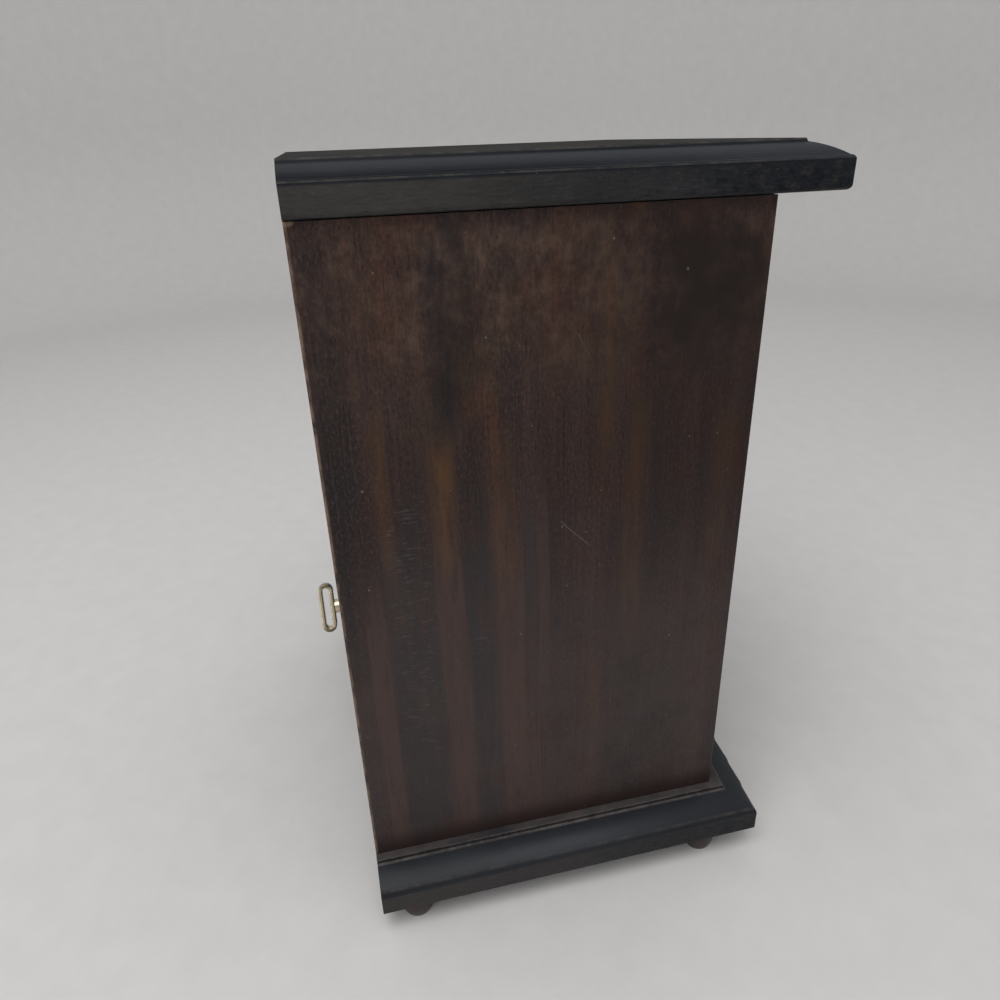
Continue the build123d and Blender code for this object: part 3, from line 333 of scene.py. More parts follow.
def stained(name, along, seed, warmth=1.0, extra=None, cross_rails=None):
    """Dark stained wood with its grain along one axis; extra adds a board's own marks to the colour."""
    finish, tree, shader = new_finish(name, "walnut")
    where, x, y, z = here(tree)
    offset = (seed * 0.173, seed * 0.291, seed * 0.417)
    moved = put(tree, "VectorMath", {0: where, 1: offset}, operation="ADD").outputs[0]

    def layers(letter):
        """The grain's three sizes and the pores, drawn out along one axis."""
        wide = spots(tree, moved, drawn(letter, 62.0, 3.2), 3.0, 0.55, 0.35)
        mid = spots(tree, moved, drawn(letter, 330.0, 7.0), 3.0, 0.6)
        fine = spots(tree, moved, drawn(letter, 1500.0, 26.0), 3.0, 0.65)
        pores = spots(tree, moved, drawn(letter, 3600.0, 150.0), 2.0, 0.6)
        return wide, mid, fine, pores

    wide, mid, fine, pores = layers(along)
    if cross_rails is not None:
        lying = cross_rails(tree, x)
        wide, mid, fine, pores = [
            scaled(tree, calc(tree, "SUBTRACT", flat, upright), lying, upright)
            for upright, flat in zip((wide, mid, fine, pores), layers("X"))
        ]
    streaks = scaled(tree, mid, 0.20, times(tree, wide, 0.80))
    tones = (
        (0.34, (0.0120, 0.0096, 0.0102)),
        (0.47, (0.0250, 0.0142, 0.0132)),
        (0.56, (0.0375 * warmth, 0.0195, 0.0158)),
        (0.66, (0.0560 * warmth, 0.0285, 0.0182)),
    )
    colour = ramp(tree, streaks, tones)
    blotch = spots(tree, moved, (24.0, 24.0, 17.0), 5.0, 0.62)
    fleck = spots(tree, moved, (1250.0, 1250.0, 620.0), 3.0, 0.7)
    for pattern, start, full, tone, strength in (
        (blotch, 0.52, 0.70, (0.066, 0.037, 0.018), 0.40),
        (blotch, 0.46, 0.32, (0.0105, 0.0088, 0.0098), 0.50),
        (fine, 0.50, 0.30, (0.0095, 0.0065, 0.0062), 0.50),
        (fine, 0.54, 0.72, (0.080, 0.048, 0.030), 0.34),
        (fleck, 0.49, 0.34, (0.0080, 0.0062, 0.0066), 0.62),
        (fleck, 0.52, 0.68, (0.088, 0.056, 0.042), 0.46),
    ):
        colour = tint(tree, colour, fade(tree, pattern, start, full), tone, strength)
    open_pores = fade(tree, pores, 0.60, 0.70)
    colour = tint(tree, colour, open_pores, (0.0065, 0.0048, 0.0048), 0.55)
    hue = spots(tree, moved, (75.0, 75.0, 48.0), 4.0, 0.6)
    colour = blend(tree, fade(tree, hue, 0.50, 0.68), colour, (1.16, 0.93, 0.84, 1.0), "MULTIPLY")
    colour = blend(tree, fade(tree, hue, 0.50, 0.34), colour, (0.90, 0.98, 1.10, 1.0), "MULTIPLY")
    if extra is not None:
        colour = extra(tree, where, x, y, z, colour)
    tree.links.new(colour, shader.inputs["Base Color"])
    shader.inputs["Specular IOR Level"].default_value = 0.20
    rough = scaled(tree, blotch, 0.14, 0.36)
    rough = scaled(tree, open_pores, 0.15, rough)
    tree.links.new(rough, shader.inputs["Roughness"])
    waves = bump(tree, shader, spots(tree, moved, (30.0, 30.0, 12.0), 1.0), 0.0003)
    grain = bump(tree, shader, fine, 0.00005, waves)
    bump(tree, shader, calc(tree, "SUBTRACT", 1.0, open_pores), 0.00003, grain)
    return finish


def streak(tree, colour, across, z, middle, width, low, high, tone, strength, waver, broken, core=0.15):
    """One streak of the board: a soft upright stripe that fades out at both ends."""
    off = away(tree, calc(tree, "ADD", across, waver), middle)
    stripe = fade(tree, off, width, width * core)
    run = (high - low) * 0.28
    ends = times(tree, fade(tree, z, low, low + run), fade(tree, z, high, high - run))
    share = times(tree, stripe, ends, broken, strength)
    return tint(tree, colour, share, tone)


def left_board_wear(tree, where, x, y, z, colour, waver):
    """The left board's worn rear arris, scratches, chipped top corner and pale dots."""
    from_back, from_face = calc(tree, "SUBTRACT", back_y, y), calc(tree, "SUBTRACT", x, side_low.x)
    edge = fade(tree, calc(tree, "MAXIMUM", from_back, from_face), 0.0012, 0.0004)
    chips = fade(tree, spots(tree, where, (300.0, 300.0, 170.0), 5.0, 0.7), 0.34, 0.62)
    colour = tint(tree, colour, times(tree, edge, chips), (0.20, 0.135, 0.095), 0.80)
    for start, end, strength in (
        ((0.0043, 0.1540), (-0.0077, 0.1411), 0.30),
        ((-0.0010, 0.2140), (-0.0065, 0.2045), 0.12),
    ):
        length = hypot(end[0] - start[0], end[1] - start[1])
        along_y = (end[0] - start[0]) / length
        along_z = (end[1] - start[1]) / length
        dy = calc(tree, "SUBTRACT", y, (start[0] + end[0]) / 2)
        dz = calc(tree, "SUBTRACT", z, (start[1] + end[1]) / 2)
        run = calc(tree, "ADD", times(tree, dy, along_y), times(tree, dz, along_z))
        run = calc(tree, "ABSOLUTE", run)
        off = calc(tree, "SUBTRACT", times(tree, dy, along_z), times(tree, dz, along_y))
        off = calc(tree, "ABSOLUTE", calc(tree, "ADD", off, times(tree, waver, 0.35)))
        ends = fade(tree, run, length / 2, length * 0.30)
        line = times(tree, fade(tree, off, 0.00024, 0.00004), ends)
        colour = tint(tree, colour, line, (0.22, 0.19, 0.17), strength)
    chip_y = calc(tree, "DIVIDE", calc(tree, "SUBTRACT", back_y - 0.0012, y), 0.0016)
    chip_z = calc(tree, "DIVIDE", calc(tree, "SUBTRACT", z, marks_top), 0.0010)
    off = squared(tree, chip_y, chip_z)
    colour = tint(tree, colour, fade(tree, off, 1.2, 0.3), (0.22, 0.16, 0.11), 0.55)
    dots = fade(tree, spots(tree, where, (620.0, 620.0, 620.0), 0.0), 0.865, 0.885)
    return tint(tree, colour, dots, (0.22, 0.20, 0.18), 0.40)


def left_board_marks(tree, where, x, y, z, colour):
    """The left board's own streaks, mottled band and dark patches, and then its wear.

    Heights run from marks_bottom at the board's lower edge to marks_top, and places across it along y.
    """
    z = calc(tree, "SUBTRACT", z, panel_bottom - marks_bottom)
    black = (0.0105, 0.0098, 0.0118)
    warm = (0.0770, 0.0370, 0.0150)
    haze = (0.0620, 0.0460, 0.0445)
    slate = (0.0320, 0.0270, 0.0285)
    rosy = (0.0620, 0.0385, 0.0330)
    swing = spots(tree, where, (40.0, 40.0, 9.0), 3.0)
    waver = times(tree, calc(tree, "SUBTRACT", swing, 0.5), 0.005)
    ragged_ends = fade(tree, spots(tree, where, (260.0, 260.0, 42.0), 5.0, 0.7), 0.36, 0.60)
    broken = scaled(tree, ragged_ends, 0.75, 0.35)
    # Soft streaks: middle, half width, lower and upper end, tone and strength
    marks = (
        (0.0370, 0.0075, 0.175, 0.260, black, 0.78),
        (0.0440, 0.0110, 0.120, 0.215, black, 0.34),
        (0.0305, 0.0060, 0.020, 0.205, black, 0.60),
        (0.0520, 0.0080, 0.130, 0.195, black, 0.40),
        (0.0065, 0.0052, 0.045, 0.200, black, 0.28),
        (-0.0180, 0.0060, 0.015, 0.150, black, 0.30),
        (-0.0300, 0.0050, 0.110, 0.200, black, 0.34),
        (-0.0470, 0.0070, 0.020, 0.215, black, 0.30),
        (0.0575, 0.0036, 0.125, 0.205, warm, 0.55),
        (0.0400, 0.0058, 0.130, 0.192, warm, 0.80),
        (0.0215, 0.0062, 0.120, 0.195, warm, 0.45),
        (0.0180, 0.0050, 0.030, 0.120, warm, 0.32),
        (-0.0115, 0.0040, 0.165, 0.246, warm, 0.55),
        (-0.0225, 0.0058, 0.085, 0.205, warm, 0.52),
        (-0.0100, 0.0050, 0.025, 0.110, warm, 0.28),
        (-0.0520, 0.0060, 0.120, 0.200, warm, 0.34),
    )
    for mark in marks:
        colour = streak(tree, colour, y, z, *mark, waver, broken)
    # The mottled band below the lid, with a warm glow along its top
    cloud = spots(tree, where, (60.0, 60.0, 60.0), 5.0, 0.7)
    mottle = spots(tree, where, (300.0, 330.0, 210.0), 4.0, 0.72)
    band = times(tree, fade(tree, z, 0.186, 0.224), fade(tree, z, marks_top, 0.2400))
    grained = scaled(tree, fade(tree, mottle, 0.36, 0.66), 0.6, 0.3)
    ahead_of_corner = scaled(tree, fade(tree, y, 0.062, 0.035), 0.5, 0.5)
    share = times(tree, band, fade(tree, cloud, 0.36, 0.62), grained, ahead_of_corner)
    colour = tint(tree, colour, share, (0.094, 0.058, 0.042), 0.80)
    gaps = times(tree, band, fade(tree, mottle, 0.50, 0.36))
    colour = tint(tree, colour, gaps, (0.0140, 0.0085, 0.0078), 0.26)
    knots = times(tree, band, fade(tree, mottle, 0.54, 0.68))
    colour = tint(tree, colour, knots, (0.108, 0.070, 0.050), 0.20)
    embers = fade(tree, spots(tree, where, (170.0, 170.0, 120.0), 5.0, 0.75), 0.50, 0.66)
    grained = scaled(tree, fade(tree, mottle, 0.40, 0.60), 0.7, 0.3)
    glow = times(tree, fade(tree, z, 0.232, 0.243), embers, grained)
    colour = tint(tree, colour, glow, (0.120, 0.052, 0.027), 0.42)
    # A pale veil over the lower half, and the crisp stripes that show through it
    thick = scaled(tree, fade(tree, cloud, 0.35, 0.60), 0.20, 0.34)
    colour = tint(tree, colour, times(tree, fade(tree, z, 0.175, 0.085), thick), haze)
    stripes = (
        (0.0643, 0.0036, -0.010, 0.155, rosy, 0.70),
        (0.0527, 0.0092, -0.010, 0.170, slate, 0.70),
        (0.0398, 0.0051, -0.010, 0.175, rosy, 0.70),
        (0.0298, 0.0060, -0.010, 0.180, slate, 0.66),
        (0.0200, 0.0047, 0.010, 0.175, rosy, 0.60),
        (0.0133, 0.0026, 0.065, 0.180, slate, 0.60),
        (0.0092, 0.0022, 0.065, 0.180, rosy, 0.45),
    )
    for stripe in stripes:
        colour = streak(tree, colour, y, z, *stripe, waver, broken, 0.72)
    # Crazed lacquer on the dark stripes
    crazing = fade(tree, spots(tree, where, (240.0, 240.0, 1500.0), 3.0, 0.6), 0.56, 0.66)
    for middle, reach, low, high in ((0.0522, 0.0085, 0.060, 0.180), (0.0298, 0.0055, 0.095, 0.130)):
        off = away(tree, y, middle)
        share = times(tree, fade(tree, z, low, low + 0.02), fade(tree, z, high, high - 0.02))
        share = times(tree, share, crazing, fade(tree, off, reach, reach * 0.6))
        colour = tint(tree, colour, share, (0.092, 0.086, 0.080), 0.34)
    # Painted shade towards the upper front, two dark patches and a shade above the base
    upper_front_shade = times(tree, fade(tree, y, 0.030, -0.035), fade(tree, z, 0.110, 0.180))
    colour = tint(tree, colour, upper_front_shade, (0.0150, 0.0062, 0.0045), 0.46)
    for middle_y, middle_z, reach_y, reach_z, strength in (
        (-0.042, 0.219, 0.022, 0.026, 0.90),
        (0.034, 0.218, 0.010, 0.030, 0.45),
    ):
        off_y = calc(tree, "DIVIDE", calc(tree, "SUBTRACT", y, middle_y), reach_y)
        off_z = calc(tree, "DIVIDE", calc(tree, "SUBTRACT", z, middle_z), reach_z)
        squares = squared(tree, off_y, off_z)
        ragged = scaled(tree, calc(tree, "SUBTRACT", cloud, 0.5), 2.2, squares)
        share = times(tree, fade(tree, ragged, 1.2, 0.0), strength)
        colour = tint(tree, colour, share, (0.0120, 0.0068, 0.0064))
    low_shade = times(tree, fade(tree, z, 0.034, 0.0245), 0.72)
    colour = tint(tree, colour, low_shade, (0.0175, 0.0095, 0.0085))
    return left_board_wear(tree, where, x, y, z, colour, waver)


dress(stained("walnut_left_side", "Z", 1.0, extra=left_board_marks), "left_side_panel")
dress(stained("walnut_right_side", "Z", 2.0), "right_side_panel")
dress(stained("walnut_back", "Z", 3.0), "back_panel")
dress(stained("walnut_apron", "X", 4.0, 1.1), "front_apron", "drawer_rail")
dress(stained("walnut_shelf", "X", 5.0), "cabinet_floor")

# Boards inside that nobody sees while the box is shut: a pale softwood, planed and left bare, with its
# grain along each board's length. They are glued between the sides.


def bare(name, along, seed):
    """Bare pale wood with early and late growth in long bands."""
    finish, tree, shader = new_finish(name, "plain_wood")
    where = here(tree)[0]
    offset = (seed * 0.31, seed * 0.17, seed * 0.23)
    moved = put(tree, "VectorMath", {0: where, 1: offset}, operation="ADD").outputs[0]
    wide = spots(tree, moved, drawn(along, 130.0, 5.0), 3.0, 0.5, 0.6)
    fine = spots(tree, moved, drawn(along, 1700.0, 30.0), 3.0, 0.6)
    tones = ((0.32, (0.40, 0.245, 0.125)), (0.52, (0.50, 0.335, 0.185)), (0.66, (0.33, 0.19, 0.092)))
    colour = ramp(tree, wide, tones)
    colour = tint(tree, colour, fade(tree, fine, 0.55, 0.35), (0.24, 0.135, 0.065), 0.35)
    tree.links.new(colour, shader.inputs["Base Color"])
    tree.links.new(scaled(tree, fine, 0.2, 0.5), shader.inputs["Roughness"])
    bump(tree, shader, fine, 0.00005)
    return finish


bare_across = bare("bare_wood_across", "X", 1.0)
bare_deep = bare("bare_wood_deep", "Y", 2.0)
dress(bare_across, "tray_floor", "drawer_stop_board")
dress(bare_deep, "drawer_runners", "tray_divider")

# The two drawers: bow-fronted walnut-stained fronts, bare sides and back grooved for a thin bottom, and a
# brass knob. They slide on runners glued to the sides.
dress(stained("walnut_lower_drawer", "X", 6.0, 1.1), "lower_drawer_front")
dress(stained("walnut_upper_drawer", "X", 7.0, 1.1), "upper_drawer_front")
for level in ("lower", "upper"):
    dress(bare_deep, level + "_drawer_sides")
    dress(bare_across, level + "_drawer_back", level + "_drawer_bottom")


def metal(name, slot_name, colour, dull, roughness, scuffs, relief, tarnish=None):
    """Solid metal, slightly dulled and finely scuffed; tarnish gives the share of a dark tarnish."""
    finish, tree, shader = new_finish(name, slot_name)
    where, x, _, z = here(tree)
    cloud = spots(tree, where, (130.0, 130.0, 130.0), 5.0, 0.65)
    fine = spots(tree, where, (1800.0, 1800.0, 1800.0), 3.0, 0.6)
    tone = tint(tree, (*colour, 1.0), fade(tree, cloud, 0.45, 0.75), dull)
    if tarnish is not None:
        tone = tint(tree, tone, tarnish(tree, x, z), (0.115, 0.090, 0.055))
    tree.links.new(tone, shader.inputs["Base Color"])
    shader.inputs["Metallic"].default_value = 1.0
    tree.links.new(scaled(tree, cloud, scuffs, roughness), shader.inputs["Roughness"])
    bump(tree, shader, fine, relief)
    return finish


brass = metal("polished_brass", "brass", (0.80, 0.585, 0.275), (0.56, 0.385, 0.17), 0.13, 0.20, 0.00001)
dress(brass, "lower_drawer_knob", "upper_drawer_knob", "left_door_knob", "right_door_knob")

# The doors: a stained frame, its upright stiles running past the rails, round a fielded panel held in a
# groove. Each has a brass knob and turns on two small brass butt hinges.
door_low, door_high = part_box("left_door_frame")
stile = 0.013
rail_inner = min(abs(door_low.x), abs(door_high.x)) + stile
rail_outer = max(abs(door_low.x), abs(door_high.x)) - stile


def door_rails(tree, x):
    """1 on the two rails between the stiles, where the grain lies flat."""
    off = away(tree, calc(tree, "ABSOLUTE", x), (rail_inner + rail_outer) / 2)
    half_rail = (rail_outer - rail_inner) / 2
    return fade(tree, off, half_rail + 0.00005, half_rail - 0.00005)


def door_joints(tree, where, x, y, z, colour):
    """The fine dark glue line where each rail meets a stile."""
    for place in (rail_inner, rail_outer):
        off = away(tree, calc(tree, "ABSOLUTE", x), place)
        colour = tint(tree, colour, fade(tree, off, 0.00022, 0.00008), (0.006, 0.004, 0.004), 0.8)
    return colour


for name, side, seed in (("walnut_left_frame", "left", 8.0), ("walnut_right_frame", "right", 9.0)):
    frame_wood = stained(name, "Z", seed, extra=door_joints, cross_rails=door_rails)
    dress(frame_wood, side + "_door_frame")
dress(stained("walnut_left_field", "Z", 10.0, 1.15), "left_door_panel")
dress(stained("walnut_right_field", "Z", 11.0, 1.15), "right_door_panel")
steel = metal("satin_steel", "steel", (0.60, 0.60, 0.61), (0.40, 0.395, 0.39), 0.22, 0.25, 0.00001)
hinge_brass = metal("hinge_brass", "brass", (0.68, 0.49, 0.23), (0.42, 0.29, 0.13), 0.22, 0.25, 0.00002)
dress(hinge_brass, "door_hinge_seats", "left_door_hinge_leaves", "right_door_hinge_leaves")
dress(hinge_brass, "necklace_hooks")
dress(steel, "door_hinge_pins", "left_strike_plate", "right_strike_plate")


def screw_tree():
    """Slotted screws on a mesh's points: each size is a named input, and each screw turns at random."""
    tree = bpy.data.node_groups.new("slotted_screws", "GeometryNodeTree")
    for label, kind, value in (
        ("Geometry", "NodeSocketGeometry", None),
        ("Head radius", "NodeSocketFloat", 0.0013),
        ("Rim height", "NodeSocketFloat", 0.00004),
        ("Head height", "NodeSocketFloat", 0.00012),
        ("Slot width", "NodeSocketFloat", 0.00034),
        ("Slot depth", "NodeSocketFloat", 0.0001),
        ("Shank radius", "NodeSocketFloat", 0.0006),
        ("Shank length", "NodeSocketFloat", 0.004),
        ("Axis", "NodeSocketVector", (0.0, 0.0, 1.0)),
        ("Seed", "NodeSocketInt", 1),
        ("Finish", "NodeSocketMaterial", None),
    ):
        socket = tree.interface.new_socket(label, in_out="INPUT", socket_type=kind)
        if value is not None:
            socket.default_value = value
    tree.interface.new_socket("Geometry", in_out="OUTPUT", socket_type="NodeSocketGeometry")
    size = put(tree, "GroupInput", family="Node").outputs
    radius, top = size["Head radius"], size["Head height"]
    crown_radius = times(tree, radius, 0.82)
    head_sides, shank_sides = 28, 14

    def shape(kind, sockets=None, family="GeometryNode", **settings):
        """The first result of a geometry node."""
        return put(tree, kind, sockets, family=family, **settings).outputs[0]

    def lifted(geometry, height):
        """Geometry moved up along z."""
        lift = put(tree, "CombineXYZ", {"Z": height}).outputs["Vector"]
        return shape("Transform", {"Geometry": geometry, "Translation": lift})

    def turned(sides, low, high, foot, depth):
        """A round blank between two radii, standing at a height."""
        sockets = {"Vertices": sides, "Radius Top": high, "Radius Bottom": low, "Depth": depth}
        return lifted(shape("MeshCone", sockets, fill_type="TRIANGLE_FAN"), foot)

    rim = turned(head_sides, radius, radius, 0.0, size["Rim height"])
    crown_height = calc(tree, "SUBTRACT", top, size["Rim height"])
    crown = turned(head_sides, radius, crown_radius, size["Rim height"], crown_height)
    below = times(tree, size["Shank length"], -1.0)
    shank_radius = size["Shank radius"]
    shank = turned(shank_sides, shank_radius, shank_radius, below, size["Shank length"])
    long_side = times(tree, radius, 3.0)
    bar_sides = {"X": size["Slot width"], "Y": long_side, "Z": top}
    bar_size = put(tree, "CombineXYZ", bar_sides).outputs["Vector"]
    bar_height = calc(tree, "SUBTRACT", times(tree, top, 1.5), size["Slot depth"])
    bar = lifted(shape("MeshCube", {"Size": bar_size}), bar_height)
    head = put(tree, "MeshBoolean", family="GeometryNode", operation="UNION")
    for blank in (rim, crown, shank):
        tree.links.new(blank, head.inputs["Mesh 2"])
    blanks = {"Mesh 1": head.outputs["Mesh"]}
    slotted = put(tree, "MeshBoolean", blanks, family="GeometryNode", operation="DIFFERENCE")
    tree.links.new(bar, slotted.inputs["Mesh 2"])
    upright = shape("AlignRotationToVector", {"Vector": size["Axis"]}, "FunctionNode", axis="Z")
    limits = {"Max": pi, "Seed": size["Seed"]}
    turn = put(tree, "RandomValue", limits, family="FunctionNode", data_type="FLOAT").outputs[1]
    spin = shape("AxisAngleToRotation", {"Angle": turn}, "FunctionNode")
    turns = {"Rotation": upright, "Rotate By": spin}
    pose = shape("RotateRotation", turns, "FunctionNode", rotation_space="LOCAL")
    sockets = {"Points": size["Geometry"], "Instance": slotted.outputs["Mesh"], "Rotation": pose}
    solid = shape("RealizeInstances", {"Geometry": shape("InstanceOnPoints", sockets)})
    finished = shape("SetMaterial", {"Geometry": solid, "Material": size["Finish"]})
    result = put(tree, "GroupOutput", family="Node")
    tree.links.new(finished, result.inputs["Geometry"])
    return tree


slotted_screws = screw_tree()


def drive_screws(name, body, slot_name, finish, places, axis, seed, **sizes):
    """Put slotted screws at places of one body, their heads along the axis, as a plain mesh."""
    mesh = bpy.data.meshes.new(name)
    mesh.from_pydata(places, [], [])
    made = bpy.data.objects.new(name, mesh)
    bpy.context.scene.collection.objects.link(made)
    driver = made.modifiers.new("screws", "NODES")
    driver.node_group = slotted_screws
    given = {"Axis": axis, "Seed": seed, "Finish": finish, **sizes}
    for item in slotted_screws.interface.items_tree:
        if item.in_out == "INPUT" and item.name in given:
            driver[item.identifier] = given[item.name]
    bpy.context.view_layer.update()
    shaped = made.evaluated_get(bpy.context.evaluated_depsgraph_get())
    solid = bpy.data.meshes.new_from_object(shaped)
    made.modifiers.remove(driver)
    made.data = solid
    solid.name = name
    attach(made, body)
    return made


screw_tones = (0.62, 0.44, 0.20), (0.34, 0.235, 0.11)
screw_brass = metal("screw_brass", "brass", *screw_tones, 0.26, 0.25, 0.00002)
screw_reach = 0.005
leaf_inset = 0.0022
hinge_inset = 0.017
for name, side in (("left", -1), ("right", 1)):
    frame_low, frame_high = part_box(name + "_door_frame")
    panel_low, panel_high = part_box(name + "_side_panel")
    screw_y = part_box(name + "_door_hinge_leaves")[1].y - leaf_inset
    heights = (frame_low.z + hinge_inset, frame_high.z - hinge_inset)
    heights = [middle + step for middle in heights for step in (-screw_reach, screw_reach)]
    door_edge = max(abs(frame_low.x), abs(frame_high.x))
    panel_face = min(abs(panel_low.x), abs(panel_high.x))
    for body, face, axis in ((name + "_door", door_edge, side), ("case", panel_face, -side)):
        title = name + "_" + body + "_hinge_screws"
        places = [(side * face, screw_y, height) for height in heights]
        drive_screws(title, body, "brass", screw_brass, places, (axis, 0.0, 0.0), seed=3 + side)


def plain(name, slot_name, scale, detail, rough, pale, dark):
    """A finish of one noise whose colour runs between two tones."""
    finish, tree, shader = new_finish(name, slot_name)
    cloud = spots(tree, here(tree)[0], (scale, scale, scale), detail, rough)
    colour = ramp(tree, cloud, ((0.3, dark), (0.7, pale)))
    tree.links.new(colour, shader.inputs["Base Color"])
    return finish, tree, shader, cloud


catch_tones = (0.70, 0.675, 0.62), (0.60, 0.57, 0.51)
nylon, tree, shader, mould = plain("catch_plastic", "nylon", 900.0, 3.0, 0.5, *catch_tones)
shader.inputs["Roughness"].default_value = 0.45
bump(tree, shader, mould, 0.00003)
dress(nylon, "door_catch", "governor_fly")

# The lid: a black-painted board like the base, hung on two brass butt hinges at the back. Its edge is a
# rounded nose below a long gentle bevel, and a mirror in a thin brass frame is let into its underside.
lid_low, lid_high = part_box("lid_board")
lid_half = lid_high.x
lid_thick = lid_high.z - lid_low.z
lid_bow_radius = bow_centre_y - lid_low.y
lid_paint = ebonised(
    "black_paint_lid",
    lid_half,
    lid_bow_radius,
    lid_low.z,
    arrises=(
        ((0.0003, 0.0087), 0.00045, 0.42),
        ((0.0104, lid_thick - 0.0001), 0.0005, 0.75),
        ((0.0004, 0.0004), 0.0007, 0.35),
    ),
    flat_from=0.0105,
    face_top=0.0083,
    dust_colour=(0.034, 0.031, 0.026),
    rubbed_colour=(0.088, 0.082, 0.073),
    face_colours=((0.0330, 0.0315, 0.0300), (0.0480, 0.0455, 0.0435)),
    gloss=0.06,
    bevel_dust=0.18,
    nose_shade_strength=0.90,
    bevel_highlight=0.0,
)
dress(lid_paint, "lid_board")
dress(hinge_brass, "lid_hinge_seats", "lid_hinge_leaves")
seat_low, seat_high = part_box("lid_hinge_seats")
hinge_half = 0.012
screw_pitch = 0.008
hinge_middle = seat_high.x - hinge_half
steps = (-screw_pitch, 0.0, screw_pitch)
across = [side * hinge_middle + step for side in (-1, 1) for step in steps]
screw_y = seat_low.y + leaf_inset
for body, level, axis in (("lid", lid_low.z, -1.0), ("case", side_high.z, 1.0)):
    places = [(x, screw_y, level) for x in across]
    title = body + "_lid_hinge_screws"
    drive_screws(title, body, "brass", screw_brass, places, (0.0, 0.0, axis), seed=7)
dress(steel, "lid_hinge_pins")
dress(brass, "mirror_frame")
silver_tones = (0.91, 0.925, 0.93), (0.86, 0.88, 0.885)
silver, tree, shader, smear = plain("mirror_silver", "mirror", 40.0, 4.0, 0.6, *silver_tones)
shader.inputs["Metallic"].default_value = 1.0
tree.links.new(times(tree, fade(tree, smear, 0.5, 0.8), 0.05), shader.inputs["Roughness"])
dress(silver, "lid_mirror")

# The winding key: a flat brass strip bent into a long loop and brazed on a round boss, screwed on the
# arbor that comes through the back. The brass has gone pale with use and dark at both ends of the loop.
key_low, key_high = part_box("winding_key")
key_middle = (key_low + key_high) / 2


def bow_ends(tree, x, z):
    """1 at the two ends of the bow, where the strip is bent round and has gone dark."""
    across, up = calc(tree, "SUBTRACT", x, key_middle.x), calc(tree, "SUBTRACT", z, key_middle.z)
    squares = squared(tree, across, up)
    return times(tree, fade(tree, calc(tree, "SQRT", squares), 0.0085, 0.0112), 0.85)


key_tones = (0.74, 0.64, 0.47), (0.50, 0.42, 0.28)
key_brass = metal("worn_key_brass", "brass", *key_tones, 0.15, 0.24, 0.00002, bow_ends)
dress(key_brass, "winding_key")
dress(steel, "winding_arbor")

# The music movement behind the drawers: a cast bedplate that carries the spring barrel, the pinned brass
# cylinder, the steel comb and the governor. It is screwed to the inside of the back.
zinc_tones = (0.56, 0.56, 0.57), (0.42, 0.42, 0.43)
cast, tree, shader, sand = plain("cast_zinc", "cast", 1200.0, 4.0, 0.65, *zinc_tones)
shader.inputs["Metallic"].default_value = 1.0
tree.links.new(scaled(tree, sand, 0.2, 0.38), shader.inputs["Roughness"])
bump(tree, shader, sand, 0.00005)
dress(cast, "movement_bedplate")
dress(steel, "spring_barrel", "comb", "comb_screws", "cylinder_axle", "stop_rod", "governor_bracket")
dress(brass, "pinned_cylinder", "cylinder_gear")
screws_low, screws_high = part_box("movement_screws")
head_radius = 0.0028
head_height = 0.0011
face_y = screws_high.y - head_height
low_x, high_x = screws_low.x + head_radius, screws_high.x - head_radius
low_z, high_z = screws_low.z + head_radius, screws_high.z - head_radius
places = [(low_x, face_y, high_z), (low_x, face_y, low_z), (high_x, face_y, low_z)]
screw_steel = metal("screw_steel", "steel", (0.50, 0.49, 0.47), (0.26, 0.25, 0.24), 0.28, 0.25, 0.00002)
sizes = {
    "Head radius": head_radius,
    "Rim height": head_height / 2,
    "Head height": head_height,
    "Slot width": 0.0007,
    "Slot depth": 0.0006,
    "Shank radius": 0.0015,
    "Shank length": face_y - screws_low.y,
}
back_screws = drive_screws(
    "movement_back_screws", "case", "steel", screw_steel, places, (0.0, 1.0, 0.0), seed=5, **sizes
)
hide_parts("movement_screws")

# The soft goods: short-piled red velvet glued over foam or card. Eight soft rolls with slits for rings lie
# in the left half of the tray, swollen over their filling by a short cloth simulation. A thin pad lies in
# the right half, and a covered card on the bottom of each drawer.
velvet, tree, shader = new_finish("red_velvet", "velvet")
where = here(tree)[0]
nap = spots(tree, where, (70.0, 70.0, 70.0), 5.0, 0.65, 0.6)
brushed = spots(tree, where, (240.0, 420.0, 240.0), 4.0, 0.6, 0.4)
pile = spots(tree, where, (4200.0, 4200.0, 4200.0), 2.0, 0.6)
stroked = scaled(tree, brushed, 0.45, times(tree, nap, 0.55))
reds = ((0.36, (0.085, 0.005, 0.010)), (0.52, (0.150, 0.010, 0.019)), (0.66, (0.235, 0.022, 0.036)))
colour = ramp(tree, stroked, reds)
colour = tint(tree, colour, fade(tree, pile, 0.52, 0.30), (0.030, 0.0015, 0.004), 0.6)
tree.links.new(colour, shader.inputs["Base Color"])
tree.links.new(scaled(tree, stroked, 0.12, 0.82), shader.inputs["Roughness"])
shader.inputs["Specular IOR Level"].default_value = 0.2
shader.inputs["Sheen Weight"].default_value = 0.7
shader.inputs["Sheen Roughness"].default_value = 0.35
shader.inputs["Sheen Tint"].default_value = (0.90, 0.32, 0.36, 1.0)
soft = bump(tree, shader, stroked, 0.0003)
bump(tree, shader, pile, 0.00014, soft)


